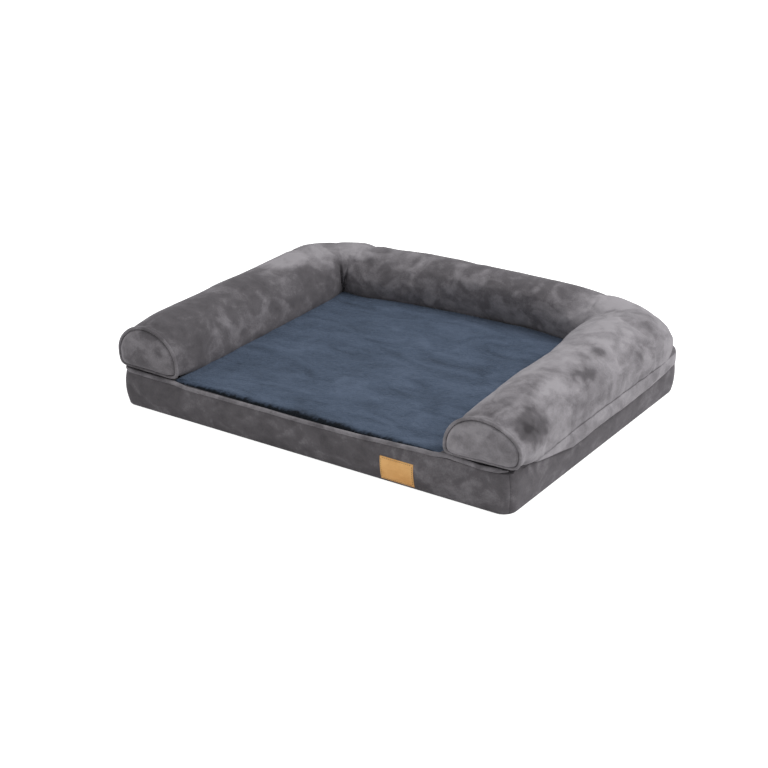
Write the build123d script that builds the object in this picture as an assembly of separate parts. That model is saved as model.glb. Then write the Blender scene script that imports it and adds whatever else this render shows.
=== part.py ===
from build123d import *
import math
import os

os.makedirs("parts", exist_ok=True)

# Bolstered dog bed. Millimetres, +X to the right, +Y to the back, +Z up.
# The origin is at the middle of the footprint, on the floor.

# Driving dimensions of the tray
base_width = 1080.0
base_depth = 820.0
deck_height = 92.0
boxing_bulge = 7.0
front_corner_radius = 45.0
back_corner_radius = 90.0
front_seam_angle = 60.0

# Cloth, foam and the room between neighbours
velvet_thickness = 2.5
lining_thickness = 2.0
bottom_panel_thickness = 1.6
ease = 0.3
overrun = 3.0
foam_inset = 12.0
foam_edge_radius = 6.0

# Driving dimensions of the U-shaped bolster
arm_width = 170.0
back_width = 145.0
arm_height = 118.0
back_drop = 6.0
belly_height = 46.0
inner_belly = 8.0
outer_belly = 8.0
belly_handle_share = 0.46
crown_handle_share = 0.555
inner_corner_radius = 32.0
outer_corner_radius = 158.0
corner_crown_drop = 8.0
corner_rays = 4
quarter_turn = 90.0
mitre_angle = 45.0
arc_shares = (0, 0.5, 1)

# Front ends of the arms
arm_setback = 15.0
end_draw = 5.0
end_taper_length = 90.0
cap_piping_radius = 4.0
cap_piping_inset = 4.0
cap_piping_corner_radius = 9.0
cap_puff = 13.0
cap_edge_inset = 1.0
cap_shoulder_inset = 3.0
cap_face_inset = 12.0
cap_crown_inset = 28.0
cap_reach_shares = (0, 0.33, 0.75, 1)

# Front edge piping
front_piping_radius = 5.0
front_piping_inset = 6.5

# Plush sleeping panel
pile_height = 6.0
panel_side_inset = 1.6
panel_edge_inset = 10.0
panel_crown_rise = 2.5
panel_crown_inset = 120.0

# Zip under the flap, on the left side, the back and the right side
zip_drop = 10.0
tape_depth = 8.2
tape_thickness = 0.8
upper_tape_gap = 0.6
lower_tape_height = 10.0
coil_height = 2.8
coil_thickness = 2.0
left_zip_start = 108.0
right_zip_start = 215.0
stop_length = 2.2
hem_drop = 7.5
hem_thickness = 1.5
hem_lap = 1.4

# Flap that hangs over the zip
flap_thickness = 2.0
flap_flange_inset = 30.0
flap_root_inset = 2.0
flap_flare = 6.0
flap_drop = 26.0
flap_start = 100.0
flap_full = 250.0

# Slider and pull tab
slider_length = 11.0
slider_plate = 1.3
slider_rim = 1.0
slider_post_length = 3.0
slider_post_clearance = 0.15
slider_corner_radius = 2.0
bridge_rod_radius = 0.8
bridge_foot_length = 1.6
bridge_foot_height = 2.4
eye_inner_radius = 1.1
eye_outer_radius = 2.2
eye_length = 2.6
tab_length = 24.0
tab_width = 8.0
tab_thickness = 1.2
tab_tip_radius = 3.0
tab_hole_radius = 1.6
tab_lean = 7.0

# Sewn label on the front band
label_width = 86.0
label_height = 56.0
label_middle_x = 256.5
label_bottom = 5.5
label_thickness = 1.5
stitch_inset = 3.0
stitch_length = 3.2
stitch_width = 0.8
stitch_pitch = 5.0
stitch_height = 0.4

# Derived places
half_width = base_width / 2
front_reach = cap_puff + 2 * cap_piping_radius - arm_setback
rear_reach = outer_belly
overall_depth = front_reach + base_depth + rear_reach
front_y = front_reach - overall_depth / 2
back_y = front_y + base_depth
middle_y = (front_y + back_y) / 2
boxing_middle = deck_height / 2
foam_top = deck_height - lining_thickness
back_height = arm_height - back_drop
inner_half_width = half_width - arm_width
inner_back_y = back_y - back_width
pivot_x = inner_half_width - inner_corner_radius
pivot_y = inner_back_y - inner_corner_radius
arm_front_y = front_y + arm_setback
taper_back_y = arm_front_y + end_taper_length
cap_seam_y = arm_front_y - cap_piping_radius
cap_back_y = cap_seam_y - cap_piping_radius
front_centre_x = half_width - front_corner_radius
front_centre_y = front_y + front_corner_radius
back_centre_x = half_width - back_corner_radius
back_centre_y = back_y - back_corner_radius
front_piping_height = deck_height - ease - front_piping_radius
front_band_top = front_piping_height - front_piping_radius
panel_front_y = front_y + front_piping_inset + front_piping_radius + ease
tape_outer = tape_depth - tape_thickness / 2
tape_inner = tape_depth + tape_thickness / 2
coil_outer = tape_outer - coil_thickness
zip_height = deck_height - zip_drop
lower_tape_bottom = zip_height - lower_tape_height
hem_bottom = zip_height - hem_drop
flap_bottom = deck_height - flap_drop
zip_top = zip_height + upper_tape_gap + coil_height
zip_bottom = zip_height - upper_tape_gap - coil_height


def tray_outline(inset, height):
    """Rounded rectangle that lies inset from the widest outline of the tray."""
    face = Pos(0, middle_y, height) * Rectangle(base_width - 2 * inset, base_depth - 2 * inset)
    face = fillet(face.vertices().sort_by(Axis.Y)[:2], front_corner_radius - inset)
    return fillet(face.vertices().sort_by(Axis.Y)[-2:], back_corner_radius - inset)


def barrel(inset):
    """Tray volume whose sides bulge between the bottom seam and the deck."""
    sections = [
        tray_outline(boxing_bulge + inset, bottom_panel_thickness),
        tray_outline(inset, boxing_middle),
        tray_outline(boxing_bulge + inset, deck_height),
    ]
    return loft(sections)


def prism(points, low, high):
    """Upright prism over a plan polygon, from one height to another."""
    face = make_face(Polyline(*points, close=True))
    return extrude(Pos(0, 0, low) * face, amount=high - low)


def block(low, high):
    """Box between two corners."""
    size = [b - a for a, b in zip(low, high)]
    return Pos(*low) * Box(*size, align=(Align.MIN, Align.MIN, Align.MIN))


def right_run(profile, start, end):
    """Extrude an (inset, height) profile along the right side."""
    points = [(half_width - inset, height) for inset, height in profile]
    face = Plane.XZ.offset(-start) * make_face(Polyline(*points, close=True))
    return extrude(face, amount=end - start, dir=(0, 1, 0))


def right_corner(profile, first, last):
    """Turn an (inset, height) profile round the back right corner, in degrees."""
    points = [(half_width - inset, height) for inset, height in profile]
    face = Plane.XZ.offset(-back_centre_y) * make_face(Polyline(*points, close=True))
    axis = Axis((back_centre_x, back_centre_y, 0), (0, 0, 1))
    return revolve(face.rotate(axis, first), axis=axis, revolution_arc=last - first)


def back_run(profile, start, end):
    """Extrude an (inset, height) profile along the back."""
    points = [(back_y - inset, height) for inset, height in profile]
    plane = Plane(origin=(start, 0, 0), x_dir=(0, 1, 0), z_dir=(1, 0, 0))
    return extrude(plane * make_face(Polyline(*points, close=True)), amount=end - start, dir=(1, 0, 0))


def left_of(shape):
    """The same piece on the left side."""
    return mirror(shape, about=Plane.YZ)


def three_side_strip(profile, left_start, right_start):
    """Strip with one profile along the left side, the back and the right side."""
    corner = right_corner(profile, 0, quarter_turn)
    strip = right_run(profile, right_start, back_centre_y) + corner
    strip += back_run(profile, -back_centre_x, back_centre_x)
    strip += left_of(corner)
    return strip + left_of(right_run(profile, left_start, back_centre_y))


def box_profile(inset_low, inset_high, low, high):
    """Rectangular (inset, height) profile."""
    return [(inset_low, low), (inset_high, low), (inset_high, high), (inset_low, high)]


# Boxing bands
def band_regions():
    """Plan polygons that part the boxing at the corner seams."""
    reach = base_width / 2
    run = math.cos(math.radians(front_seam_angle)) * reach
    rise = math.sin(math.radians(front_seam_angle)) * reach
    front_right = [(front_centre_x, front_centre_y), (front_centre_x + run, front_centre_y - rise)]
    back_right = [(back_centre_x, back_centre_y), (back_centre_x + reach, back_centre_y + reach)]
    front_left = [(-x, y) for x, y in front_right]
    back_left = [(-x, y) for x, y in back_right]
    outer_right = [(back_centre_x + reach, front_centre_y - rise)]
    outer_left = [(-x, y) for x, y in outer_right]
    return {
        "front_band": front_left + front_right[::-1],
        "right_band": front_right + outer_right + back_right[::-1],
        "back_band": back_left + back_right[::-1],
        "left_band": front_left + outer_left + back_left[::-1],
    }


def make_bands():
    """Four velvet strips round the foam, cut down along the zip."""
    wall = barrel(0) - barrel(velvet_thickness)
    hem_top = hem_bottom + hem_thickness
    hem_outer = tape_outer - hem_lap - velvet_thickness
    hem = box_profile(hem_outer, tape_outer, hem_bottom, hem_top)
    turned_hem = right_corner(hem, 0, mitre_angle)
    bands = {}
    for name, region in band_regions().items():
        piece = wall & prism(region, bottom_panel_thickness, foam_top)
        if name == "front_band":
            low = (-base_width, front_y - overrun, front_band_top)
            piece -= block(low, (base_width, back_y, deck_height))
        if name == "left_band":
            piece -= zip_room(-1, left_zip_start, hem_top)
            piece += left_of(right_run(hem, front_y + left_zip_start, back_centre_y) + turned_hem)
        if name == "right_band":
            piece -= zip_room(1, right_zip_start, hem_top)
            piece += right_run(hem, front_y + right_zip_start, back_centre_y) + turned_hem
        if name == "back_band":
            piece -= block((-base_width, middle_y, hem_top), (base_width, back_y + overrun, deck_height))
            corner = right_corner(hem, mitre_angle, quarter_turn)
            piece += back_run(hem, -back_centre_x, back_centre_x) + corner + left_of(corner)
        bands[name] = piece
    return bands


def zip_room(side, start, low):
    """Room above the hem, behind the start of the zip, on one side."""
    near = min(side * base_width, 0)
    far = max(side * base_width, 0)
    return block((near, front_y + start, low), (far, back_y + overrun, deck_height))


# Bolster sections, in the plane that a section stands on: x across, y up from the deck
def bolster_face(plane, width, crown, inset, foot):
    """D-shaped section drawn in by inset, with its flat foot at a height."""
    half_span = (inner_belly + width + outer_belly) / 2 - inset
    rise = crown - belly_height - inset
    crown_x = (width + outer_belly - inner_belly) / 2
    crown_point = (crown_x, belly_height + rise)

    def low_arc(belly, side, centre_x):
        radius = (belly ** 2 + belly_height ** 2) / (2 * belly)
        middle_x = centre_x + side * (belly - radius)
        drop = belly_height - foot
        angle = math.asin(drop / (radius - inset))
        points = []
        for share in arc_shares:
            x = middle_x + side * (radius - inset) * math.cos(angle * share)
            points.append((x, belly_height - (radius - inset) * math.sin(angle * share)))
        return points

    def high_curve(side):
        belly_x = crown_x + side * half_span
        belly_handle = (belly_x, belly_height + belly_handle_share * rise)
        crown_handle = (crown_x + side * crown_handle_share * half_span, crown_point[1])
        return Bezier((belly_x, belly_height), belly_handle, crown_handle, crown_point)

    inner_low = low_arc(inner_belly, -1, 0)
    outer_low = low_arc(outer_belly, 1, width)
    edges = [
        ThreePointArc(inner_low[2], inner_low[1], inner_low[0]),
        high_curve(-1),
        high_curve(1),
        ThreePointArc(outer_low[0], outer_low[1], outer_low[2]),
        Line(outer_low[2], inner_low[2]),
    ]
    return plane * make_face(edges)


def arm_plane(y):
    """Section plane across the right arm."""
    return Plane(origin=(inner_half_width, y, deck_height), x_dir=(1, 0, 0), z_dir=(0, -1, 0))


def corner_plane(angle):
    """Section plane that stands on a ray from the inner corner, in degrees."""
    cosine = math.cos(math.radians(angle))
    sine = math.sin(math.radians(angle))
    origin = (pivot_x + inner_corner_radius * cosine, pivot_y + inner_corner_radius * sine, deck_height)
    return Plane(origin=origin, x_dir=(cosine, sine, 0), z_dir=(sine, -cosine, 0))


def corner_width(angle):
    """Width of the bolster along a ray from the inner corner, in degrees."""
    slope = math.radians(angle)
    cosine = math.cos(slope)
    sine = math.sin(slope)
    side = arm_width + inner_corner_radius
    rear = back_width + inner_corner_radius
    centre_x = side - outer_corner_radius
    centre_y = rear - outer_corner_radius
    if side * sine <= centre_y * cosine:
        return side / cosine - inner_corner_radius
    if rear * cosine <= centre_x * sine:
        return rear / sine - inner_corner_radius
    along = centre_x * cosine + centre_y * sine
    across = centre_x * sine - centre_y * cosine
    return along + math.sqrt(outer_corner_radius ** 2 - across ** 2) - inner_corner_radius


def corner_crown(angle):
    """Height of the bolster along a ray: from arm to back, with a dip on the mitre."""
    dip = corner_crown_drop * math.sin(math.radians(2 * angle)) ** 2
    return arm_height - back_drop * angle / quarter_turn - dip


def arm_end(inset, foot):
    """Front of the right arm, drawn in towards its cap."""
    faces = []
    for share in arc_shares:
        draw = end_draw * (1 - share) ** 2
        plane = arm_plane(arm_front_y + end_taper_length * share)
        faces.append(bolster_face(plane, arm_width, arm_height, inset + draw, foot + draw))
    return loft(faces)


def arm_run(inset, foot):
    """Straight stretch of the right arm."""
    face = bolster_face(arm_plane(taper_back_y), arm_width, arm_height, inset, foot)
    return extrude(face, amount=pivot_y - taper_back_y, dir=(0, 1, 0))


def corner_half(inset, foot, first):
    """One half of the back right corner, from the first ray to or from the mitre."""
    faces = []
    for step in range(corner_rays + 1):
        angle = first + mitre_angle * step / corner_rays
        plane = corner_plane(angle)
        faces.append(bolster_face(plane, corner_width(angle), corner_crown(angle), inset, foot))
    return loft(faces)


def back_stretch(inset, foot):
    """Straight stretch of the back bolster."""
    face = bolster_face(corner_plane(quarter_turn), back_width, back_height, inset, foot)
    return extrude(face, amount=2 * pivot_x, dir=(-1, 0, 0))


def shell_of(stretch):
    """Velvet sleeve of one stretch, open along its foot."""
    return stretch(0, 0) - stretch(velvet_thickness, -overrun)


def make_bolsters():
    """Sleeves and fillings of the two arms and the back."""
    fill_inset = velvet_thickness + ease
    arm_cover = shell_of(arm_end) + shell_of(arm_run) + shell_of(lambda i, f: corner_half(i, f, 0))
    turn_cover = shell_of(lambda i, f: corner_half(i, f, mitre_angle))
    back_cover = turn_cover + shell_of(back_stretch) + left_of(turn_cover)
    arm_fill = arm_end(fill_inset, 0) + arm_run(fill_inset, 0) + corner_half(fill_inset, 0, 0)
    arm_fill += neck() + dome(fill_inset)
    turn_fill = corner_half(fill_inset, 0, mitre_angle)
    back_fill = turn_fill + back_stretch(fill_inset, 0) + left_of(turn_fill)
    return {
        "right_bolster_cover": arm_cover,
        "left_bolster_cover": left_of(arm_cover),
        "back_bolster_cover": back_cover,
        "right_bolster_fill": arm_fill,
        "left_bolster_fill": left_of(arm_fill),
        "back_bolster_fill": back_fill,
    }


def neck():
    """Filling that passes through the ring of piping into the cap."""
    draw = cap_piping_inset + cap_piping_radius + 2 * ease
    face = bolster_face(arm_plane(cap_back_y), arm_width, arm_height, draw, draw)
    face = fillet(face.vertices().sort_by(Axis.Z)[:2], cap_piping_corner_radius - cap_piping_radius)
    return extrude(face, amount=arm_front_y - cap_back_y, dir=(0, 1, 0))


def dome(inset):
    """Puffed front of an arm: from the ring of piping out to the crown of the cap."""
    insets = (cap_edge_inset, cap_shoulder_inset, cap_face_inset, cap_crown_inset)
    faces = []
    for share, draw in zip(cap_reach_shares, insets):
        total = end_draw + draw + inset
        y = cap_back_y - share * (cap_puff - inset)
        faces.append(bolster_face(arm_plane(y), arm_width, arm_height, total, total))
    return loft(faces, ruled=True)


def make_caps():
    """Velvet end caps and the piping round them."""
    cap = dome(0) - dome(velvet_thickness)
    plane = arm_plane(cap_seam_y)
    face = bolster_face(plane, arm_width, arm_height, cap_piping_inset, cap_piping_inset)
    face = fillet(face.vertices().sort_by(Axis.Z)[:2], cap_piping_corner_radius)
    path = face.wire()
    ring = sweep(Plane(origin=path @ 0, z_dir=path % 0) * Circle(cap_piping_radius), path=path)
    return {
        "right_end_cap": cap,
        "left_end_cap": left_of(cap),
        "right_cap_piping": ring,
        "left_cap_piping": left_of(ring),
    }


def recess_face(inset, height, front):
    """Plan of the sleeping area inside the bolster, from a front line back."""
    depth = inner_back_y - inset - front
    face = Pos(0, front + depth / 2, height) * Rectangle(2 * (inner_half_width - inset), depth)
    radius = max(inner_corner_radius - inset, inner_corner_radius / 2)
    return fillet(face.vertices().sort_by(Axis.Y)[-2:], radius)


def make_deck():
    """Plush sleeping panel, lining under the bolsters and the front piping."""
    panel_sections = []
    for height, inset in (
        (foam_top, ease),
        (deck_height + pile_height / 2, panel_side_inset),
        (deck_height + pile_height, panel_edge_inset),
        (deck_height + pile_height + panel_crown_rise, panel_crown_inset),
    ):
        front = panel_front_y + inset - ease
        panel_sections.append(recess_face(inset, height, front))
    panel = loft(panel_sections, ruled=True)
    lining = extrude(tray_outline(flap_flange_inset + ease, foam_top), amount=lining_thickness)
    recess = recess_face(0, foam_top - overrun, front_y - overrun)
    lining -= extrude(recess, amount=lining_thickness + 2 * overrun)
    lining -= block((-base_width, front_y - overrun, 0), (base_width, panel_front_y, base_width))
    radius = front_corner_radius - front_piping_inset
    turn = front_seam_angle / 2
    line_y = front_y + front_piping_inset
    run = Line((-front_centre_x, line_y), (front_centre_x, line_y))
    left_turn = CenterArc((-front_centre_x, front_centre_y), radius, -quarter_turn - turn, turn)
    right_turn = CenterArc((front_centre_x, front_centre_y), radius, -quarter_turn, turn)
    path = Pos(0, 0, front_piping_height) * Wire([left_turn, run, right_turn])
    piping = sweep(Plane(origin=path @ 0, z_dir=path % 0) * Circle(front_piping_radius), path=path)
    return {"sleep_panel": panel, "bolster_lining": lining, "front_piping": piping}


def make_tray():
    """Foam slab and the bottom of the cover."""
    foam_height = foam_top - bottom_panel_thickness
    foam = extrude(tray_outline(foam_inset, bottom_panel_thickness), amount=foam_height)
    levels = foam.edges().group_by(Axis.Z)
    foam = fillet(levels[0] + levels[-1], foam_edge_radius)
    bottom = extrude(tray_outline(boxing_bulge, 0), amount=bottom_panel_thickness)
    return {"foam_slab": foam, "bottom_panel": bottom}


# Flap and zip
def flap_profile():
    """Flange sewn under the bolster, and the lip that flares over the zip."""
    lip = flap_root_inset - flap_flare
    return [
        (flap_flange_inset, foam_top),
        (flap_root_inset, foam_top),
        (lip, flap_bottom),
        (lip - flap_thickness, flap_bottom),
        (flap_root_inset - flap_thickness, deck_height),
        (flap_flange_inset, deck_height),
    ]


def make_flaps():
    """Three flaps, mitred at the back corners, that thin out to the front."""
    profile = flap_profile()
    start = front_y + flap_start
    side = right_run(profile, start, back_centre_y)
    wedge_points = [
        (start - overrun, foam_top),
        (start, foam_top),
        (front_y + flap_full, flap_bottom),
        (front_y + flap_full, flap_bottom - overrun),
        (start - overrun, flap_bottom - overrun),
    ]
    wedge_plane = Plane(origin=(0, 0, 0), x_dir=(0, 1, 0), z_dir=(1, 0, 0))
    wedge = extrude(wedge_plane * make_face(Polyline(*wedge_points, close=True)), amount=base_width)
    side = side - wedge + right_corner(profile, 0, mitre_angle)
    corner = right_corner(profile, mitre_angle, quarter_turn)
    back = back_run(profile, -back_centre_x, back_centre_x) + corner + left_of(corner)
    return {"right_flap": side, "left_flap": left_of(side), "back_flap": back}


def make_zip():
    """Two tapes with their coils, and a stop at each end of the zip."""
    left_start = front_y + left_zip_start + ease
    right_start = front_y + right_zip_start + ease
    coil_left = left_start + stop_length + ease
    coil_right = right_start + stop_length + ease
    upper_low = zip_height + upper_tape_gap
    lower_high = zip_height - upper_tape_gap
    upper_tape = box_profile(tape_outer, tape_inner, upper_low, foam_top)
    lower_tape = box_profile(tape_outer, tape_inner, lower_tape_bottom, lower_high)
    upper_coil = box_profile(coil_outer, tape_outer, upper_low, zip_top)
    lower_coil = box_profile(coil_outer, tape_outer, zip_bottom, lower_high)
    stop = box_profile(coil_outer - ease, tape_outer, zip_bottom, zip_top)
    stops = [
        left_of(right_run(stop, left_start, left_start + stop_length)),
        right_run(stop, right_start, right_start + stop_length),
    ]
    return {
        "upper_zip_tape": three_side_strip(upper_tape, left_start, right_start),
        "lower_zip_tape": three_side_strip(lower_tape, left_start, right_start),
        "upper_zip_coil": three_side_strip(upper_coil, coil_left, coil_right),
        "lower_zip_coil": three_side_strip(lower_coil, coil_left, coil_right),
        "zip_end_stops": Compound(children=stops),
    }


# The slider is drawn on the right side and mirrored to the left, where it lies
slider_front = front_y + left_zip_start + stop_length + 3 * ease
slider_back = slider_front + slider_length
slider_middle = (slider_front + slider_back) / 2
plate_inner = coil_outer - ease
plate_outer = plate_inner - slider_plate
slider_low = zip_bottom - ease - slider_rim
slider_high = zip_top + ease + slider_rim
rod_depth = plate_outer - ease - eye_outer_radius


def side_block(inset_low, inset_high, start, end, low, high):
    """Box on the right side, from an outer to an inner inset."""
    return block((half_width - inset_high, start, low), (half_width - inset_low, end, high))


def make_slider():
    """Two plates joined by a post, rims beside the coils, and a bridge for the tab."""
    back_outer = tape_inner + ease
    back_inner = back_outer + slider_plate
    outer = side_block(plate_outer, plate_inner, slider_front, slider_back, slider_low, slider_high)
    outer = fillet(outer.edges().filter_by(Axis.X), slider_corner_radius)
    inner = side_block(back_outer, back_inner, slider_front, slider_back, slider_low, slider_high)
    inner = fillet(inner.edges().filter_by(Axis.X), slider_corner_radius)
    half_post = upper_tape_gap - slider_post_clearance
    post_low = zip_height - half_post
    post_high = zip_height + half_post
    post_back = slider_front + slider_post_length
    post = side_block(plate_outer, back_inner, slider_front, post_back, post_low, post_high)
    rim_start = slider_front + slider_corner_radius
    rim_end = slider_back - slider_corner_radius
    rim_inner = tape_outer - ease
    rims = side_block(plate_outer, rim_inner, rim_start, rim_end, slider_low, slider_low + slider_rim)
    rims += side_block(plate_outer, rim_inner, rim_start, rim_end, slider_high - slider_rim, slider_high)
    foot_low = zip_height - bridge_foot_height / 2
    foot_high = zip_height + bridge_foot_height / 2
    foot_outer = rod_depth - bridge_rod_radius
    first_end = rim_start + bridge_foot_length
    last_start = rim_end - bridge_foot_length
    feet = side_block(foot_outer, plate_outer, rim_start, first_end, foot_low, foot_high)
    feet += side_block(foot_outer, plate_outer, last_start, rim_end, foot_low, foot_high)
    rod = Cylinder(bridge_rod_radius, rim_end - rim_start, rotation=(quarter_turn, 0, 0))
    rod = Pos(half_width - rod_depth, slider_middle, zip_height) * rod
    return left_of(outer + inner + post + rims + feet + rod)


def make_tab():
    """Pull tab: an eye round the bridge rod and a blade that hangs below it."""
    eye = Cylinder(eye_outer_radius, eye_length, rotation=(quarter_turn, 0, 0))
    blade_top = -(eye_inner_radius + eye_outer_radius) / 2
    blade_height = tab_length + blade_top
    blade = Pos(0, 0, blade_top - blade_height / 2) * Box(tab_thickness, tab_width, blade_height)
    blade = fillet(blade.edges().filter_by(Axis.X).group_by(Axis.Z)[0], tab_tip_radius)
    shoulder_depth = tab_thickness + 2 * eye_outer_radius
    shoulders = Box(shoulder_depth, tab_width, 2 * eye_outer_radius)
    shoulders -= Box(shoulder_depth, eye_length, 2 * eye_outer_radius)
    waist = Pos(0, 0, blade_top) * shoulders
    hole = Cylinder(tab_hole_radius, tab_width, rotation=(0, quarter_turn, 0))
    hole = Pos(0, 0, tab_tip_radius + tab_hole_radius - tab_length) * hole
    bore = Cylinder(eye_inner_radius, tab_width + overrun, rotation=(quarter_turn, 0, 0))
    tab = eye + (blade - waist) - hole - bore
    tab = tab.rotate(Axis.Y, -tab_lean)
    return left_of(Pos(half_width - rod_depth, slider_middle, zip_height) * tab)


# Label
def make_label():
    """Label that lies on the front band, and the stitches round its edge."""
    low_x = label_middle_x - label_width / 2
    high_x = label_middle_x + label_width / 2
    label_top = label_bottom + label_height
    front_block = block((low_x, front_y - overrun, label_bottom), (high_x, front_centre_y, label_top))
    patch = (barrel(-label_thickness) - barrel(0)) & front_block
    thread = barrel(-label_thickness - stitch_height) - barrel(-label_thickness)
    cutters = []
    for z in (label_bottom + stitch_inset, label_top - stitch_inset):
        for x in stitch_row(low_x, high_x):
            cutters.append(stitch_block(x, z, stitch_length, stitch_width))
    for x in (low_x + stitch_inset, high_x - stitch_inset):
        for z in stitch_row(label_bottom, label_top):
            cutters.append(stitch_block(x, z, stitch_width, stitch_length))
    stitches = [(thread & cutter).solid() for cutter in cutters]
    return {"label_patch": patch, "label_stitches": Compound(children=stitches)}


def stitch_row(low, high):
    """Middles of the stitches along one edge, clear of its corners."""
    room = high - low - 2 * stitch_inset - 2 * stitch_pitch
    count = int(room / stitch_pitch)
    first = (low + high) / 2 - count * stitch_pitch / 2
    return [first + step * stitch_pitch for step in range(count + 1)]


def stitch_block(x, z, across, up):
    """Box through the front band where one stitch lies."""
    low = (x - across / 2, front_y - overrun, z - up / 2)
    return block(low, (x + across / 2, front_centre_y, z + up / 2))


pieces = {}
pieces.update(make_tray())
pieces.update(make_bands())
pieces.update(make_deck())
pieces.update(make_bolsters())
pieces.update(make_caps())
pieces.update(make_flaps())
pieces.update(make_zip())
pieces["zip_slider"] = make_slider()
pieces["zip_pull_tab"] = make_tab()
pieces.update(make_label())

for name, shape in pieces.items():
    export_step(shape, f"parts/{name}.step")
    print(name, len(shape.solids()), round(shape.volume))
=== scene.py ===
import math

import bmesh
import bpy
import numpy as np
from mathutils import Matrix, Vector, noise


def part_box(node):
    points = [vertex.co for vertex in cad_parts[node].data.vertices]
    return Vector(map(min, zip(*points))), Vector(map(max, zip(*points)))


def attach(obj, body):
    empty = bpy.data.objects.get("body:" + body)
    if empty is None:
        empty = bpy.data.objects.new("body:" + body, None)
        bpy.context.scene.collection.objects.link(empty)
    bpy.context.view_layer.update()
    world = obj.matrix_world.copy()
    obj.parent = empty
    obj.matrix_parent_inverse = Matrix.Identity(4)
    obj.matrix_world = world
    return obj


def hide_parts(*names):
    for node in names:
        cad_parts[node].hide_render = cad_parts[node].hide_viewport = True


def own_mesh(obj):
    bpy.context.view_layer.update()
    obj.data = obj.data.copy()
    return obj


# Looks of a bolstered dog bed round its CAD frame, in metres: +X right, +Y back, +Z up
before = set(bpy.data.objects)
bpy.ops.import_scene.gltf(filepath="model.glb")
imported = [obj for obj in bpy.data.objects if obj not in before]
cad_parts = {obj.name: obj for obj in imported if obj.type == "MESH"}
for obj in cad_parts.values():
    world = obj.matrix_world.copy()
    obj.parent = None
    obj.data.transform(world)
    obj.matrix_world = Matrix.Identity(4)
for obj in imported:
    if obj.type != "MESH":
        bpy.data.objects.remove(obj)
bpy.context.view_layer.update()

# Sizes read from the frame
half_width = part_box("right_band")[1].x
front_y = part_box("front_band")[0].y
back_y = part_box("back_band")[1].y
boxing_bulge = half_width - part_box("bottom_panel")[1].x
bottom_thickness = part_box("bottom_panel")[1].z
foam_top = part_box("foam_slab")[1].z
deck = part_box("bolster_lining")[1].z
front_band_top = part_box("front_band")[1].z
hem_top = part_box("back_band")[1].z
ring_low, ring_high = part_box("right_cap_piping")
ring_radius = (ring_high.y - ring_low.y) / 2
ring_y = (ring_high.y + ring_low.y) / 2
arm_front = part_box("right_bolster_cover")[0].y
arm_crown = ring_high.z - deck
cap_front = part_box("right_end_cap")[0].y
cord_low, cord_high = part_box("front_piping")
cord_radius = (cord_high.z - cord_low.z) / 2
cord_y = cord_low.y + cord_radius
cord_z = (cord_high.z + cord_low.z) / 2
panel_low, panel_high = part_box("sleep_panel")
label_low, label_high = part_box("label_patch")
flap_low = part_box("right_flap")[0].z
flap_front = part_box("right_flap")[0].y

# Sizes of the bolster and the tray that their boxes don't give
inner_belly = 0.008
outer_belly = 0.008
belly = 0.046
belly_handle = 0.46
crown_handle = 0.555
back_width = 0.145
back_drop = 0.006
corner_dip = 0.008
inner_radius = 0.032
outer_radius = 0.158
front_corner = 0.038
back_corner = 0.078
front_seam_angle = math.radians(43)
foam_inset = 0.012
foam_edge = 0.006
left_zip_start = 0.108
right_zip_start = 0.215
tape_inset = 0.0082
flap_full = 0.250
flap_reach = 0.030

inner_x = ring_low.x + inner_belly
outer_x = ring_high.x - outer_belly
arm_width = outer_x - inner_x
inner_back_y = back_y - back_width
pivot_x = inner_x - inner_radius
pivot_y = inner_back_y - inner_radius
quarter = math.pi / 2
mitre = math.pi / 4

# Mesh and cloth settings
around_count = 60
foot_count = 14
arm_step = 0.008
corner_steps = 12
sim_frames = 20
sim_pressure = 4.0
sim_slack = 0.012
swell_limit = 0.005
seam_dome = 0.003


# Mesh helpers
def add_object(name, data):
    obj = bpy.data.objects.new(name, data)
    bpy.context.scene.collection.objects.link(obj)
    return obj


def new_piece(name, verts, faces, material):
    """A mesh object in the scene, from points and faces."""
    mesh = bpy.data.meshes.new(name)
    mesh.from_pydata([tuple(v) for v in verts], [], [tuple(f) for f in faces])
    mesh.validate()
    work = bmesh.new()
    work.from_mesh(mesh)
    bmesh.ops.recalc_face_normals(work, faces=work.faces)
    work.to_mesh(mesh)
    work.free()
    mesh.shade_smooth()
    mesh.materials.append(material)
    return add_object(name, mesh)


def grid_faces(rows, columns, close_rows=False, close_columns=False, start=0):
    """Quads between neighbouring rows of points."""
    faces = []
    for r in range(rows if close_rows else rows - 1):
        for c in range(columns if close_columns else columns - 1):
            a = start + r * columns + c
            b = start + r * columns + (c + 1) % columns
            d = start + (r + 1) % rows * columns + c
            e = start + (r + 1) % rows * columns + (c + 1) % columns
            faces.append((a, b, e, d))
    return faces


def shell(name, outer, inner, rows, columns, material):
    """A closed sheet between two grids of points, joined round its rim."""
    size = rows * columns
    faces = grid_faces(rows, columns)
    faces += [tuple(size + v for v in reversed(f)) for f in grid_faces(rows, columns)]
    rim = list(range(columns))
    rim += [r * columns + columns - 1 for r in range(1, rows)]
    rim += [(rows - 1) * columns + c for c in range(columns - 2, -1, -1)]
    rim += [r * columns for r in range(rows - 2, 0, -1)]
    faces += [(a, b, b + size, a + size) for a, b in zip(rim, rim[1:] + rim[:1])]
    return new_piece(name, outer + inner, faces, material)


def dress(obj, node=None):
    """Ties a piece to the bed and hides the CAD piece that it stands for."""
    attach(obj, "bed")
    if node:
        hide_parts(node)


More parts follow.
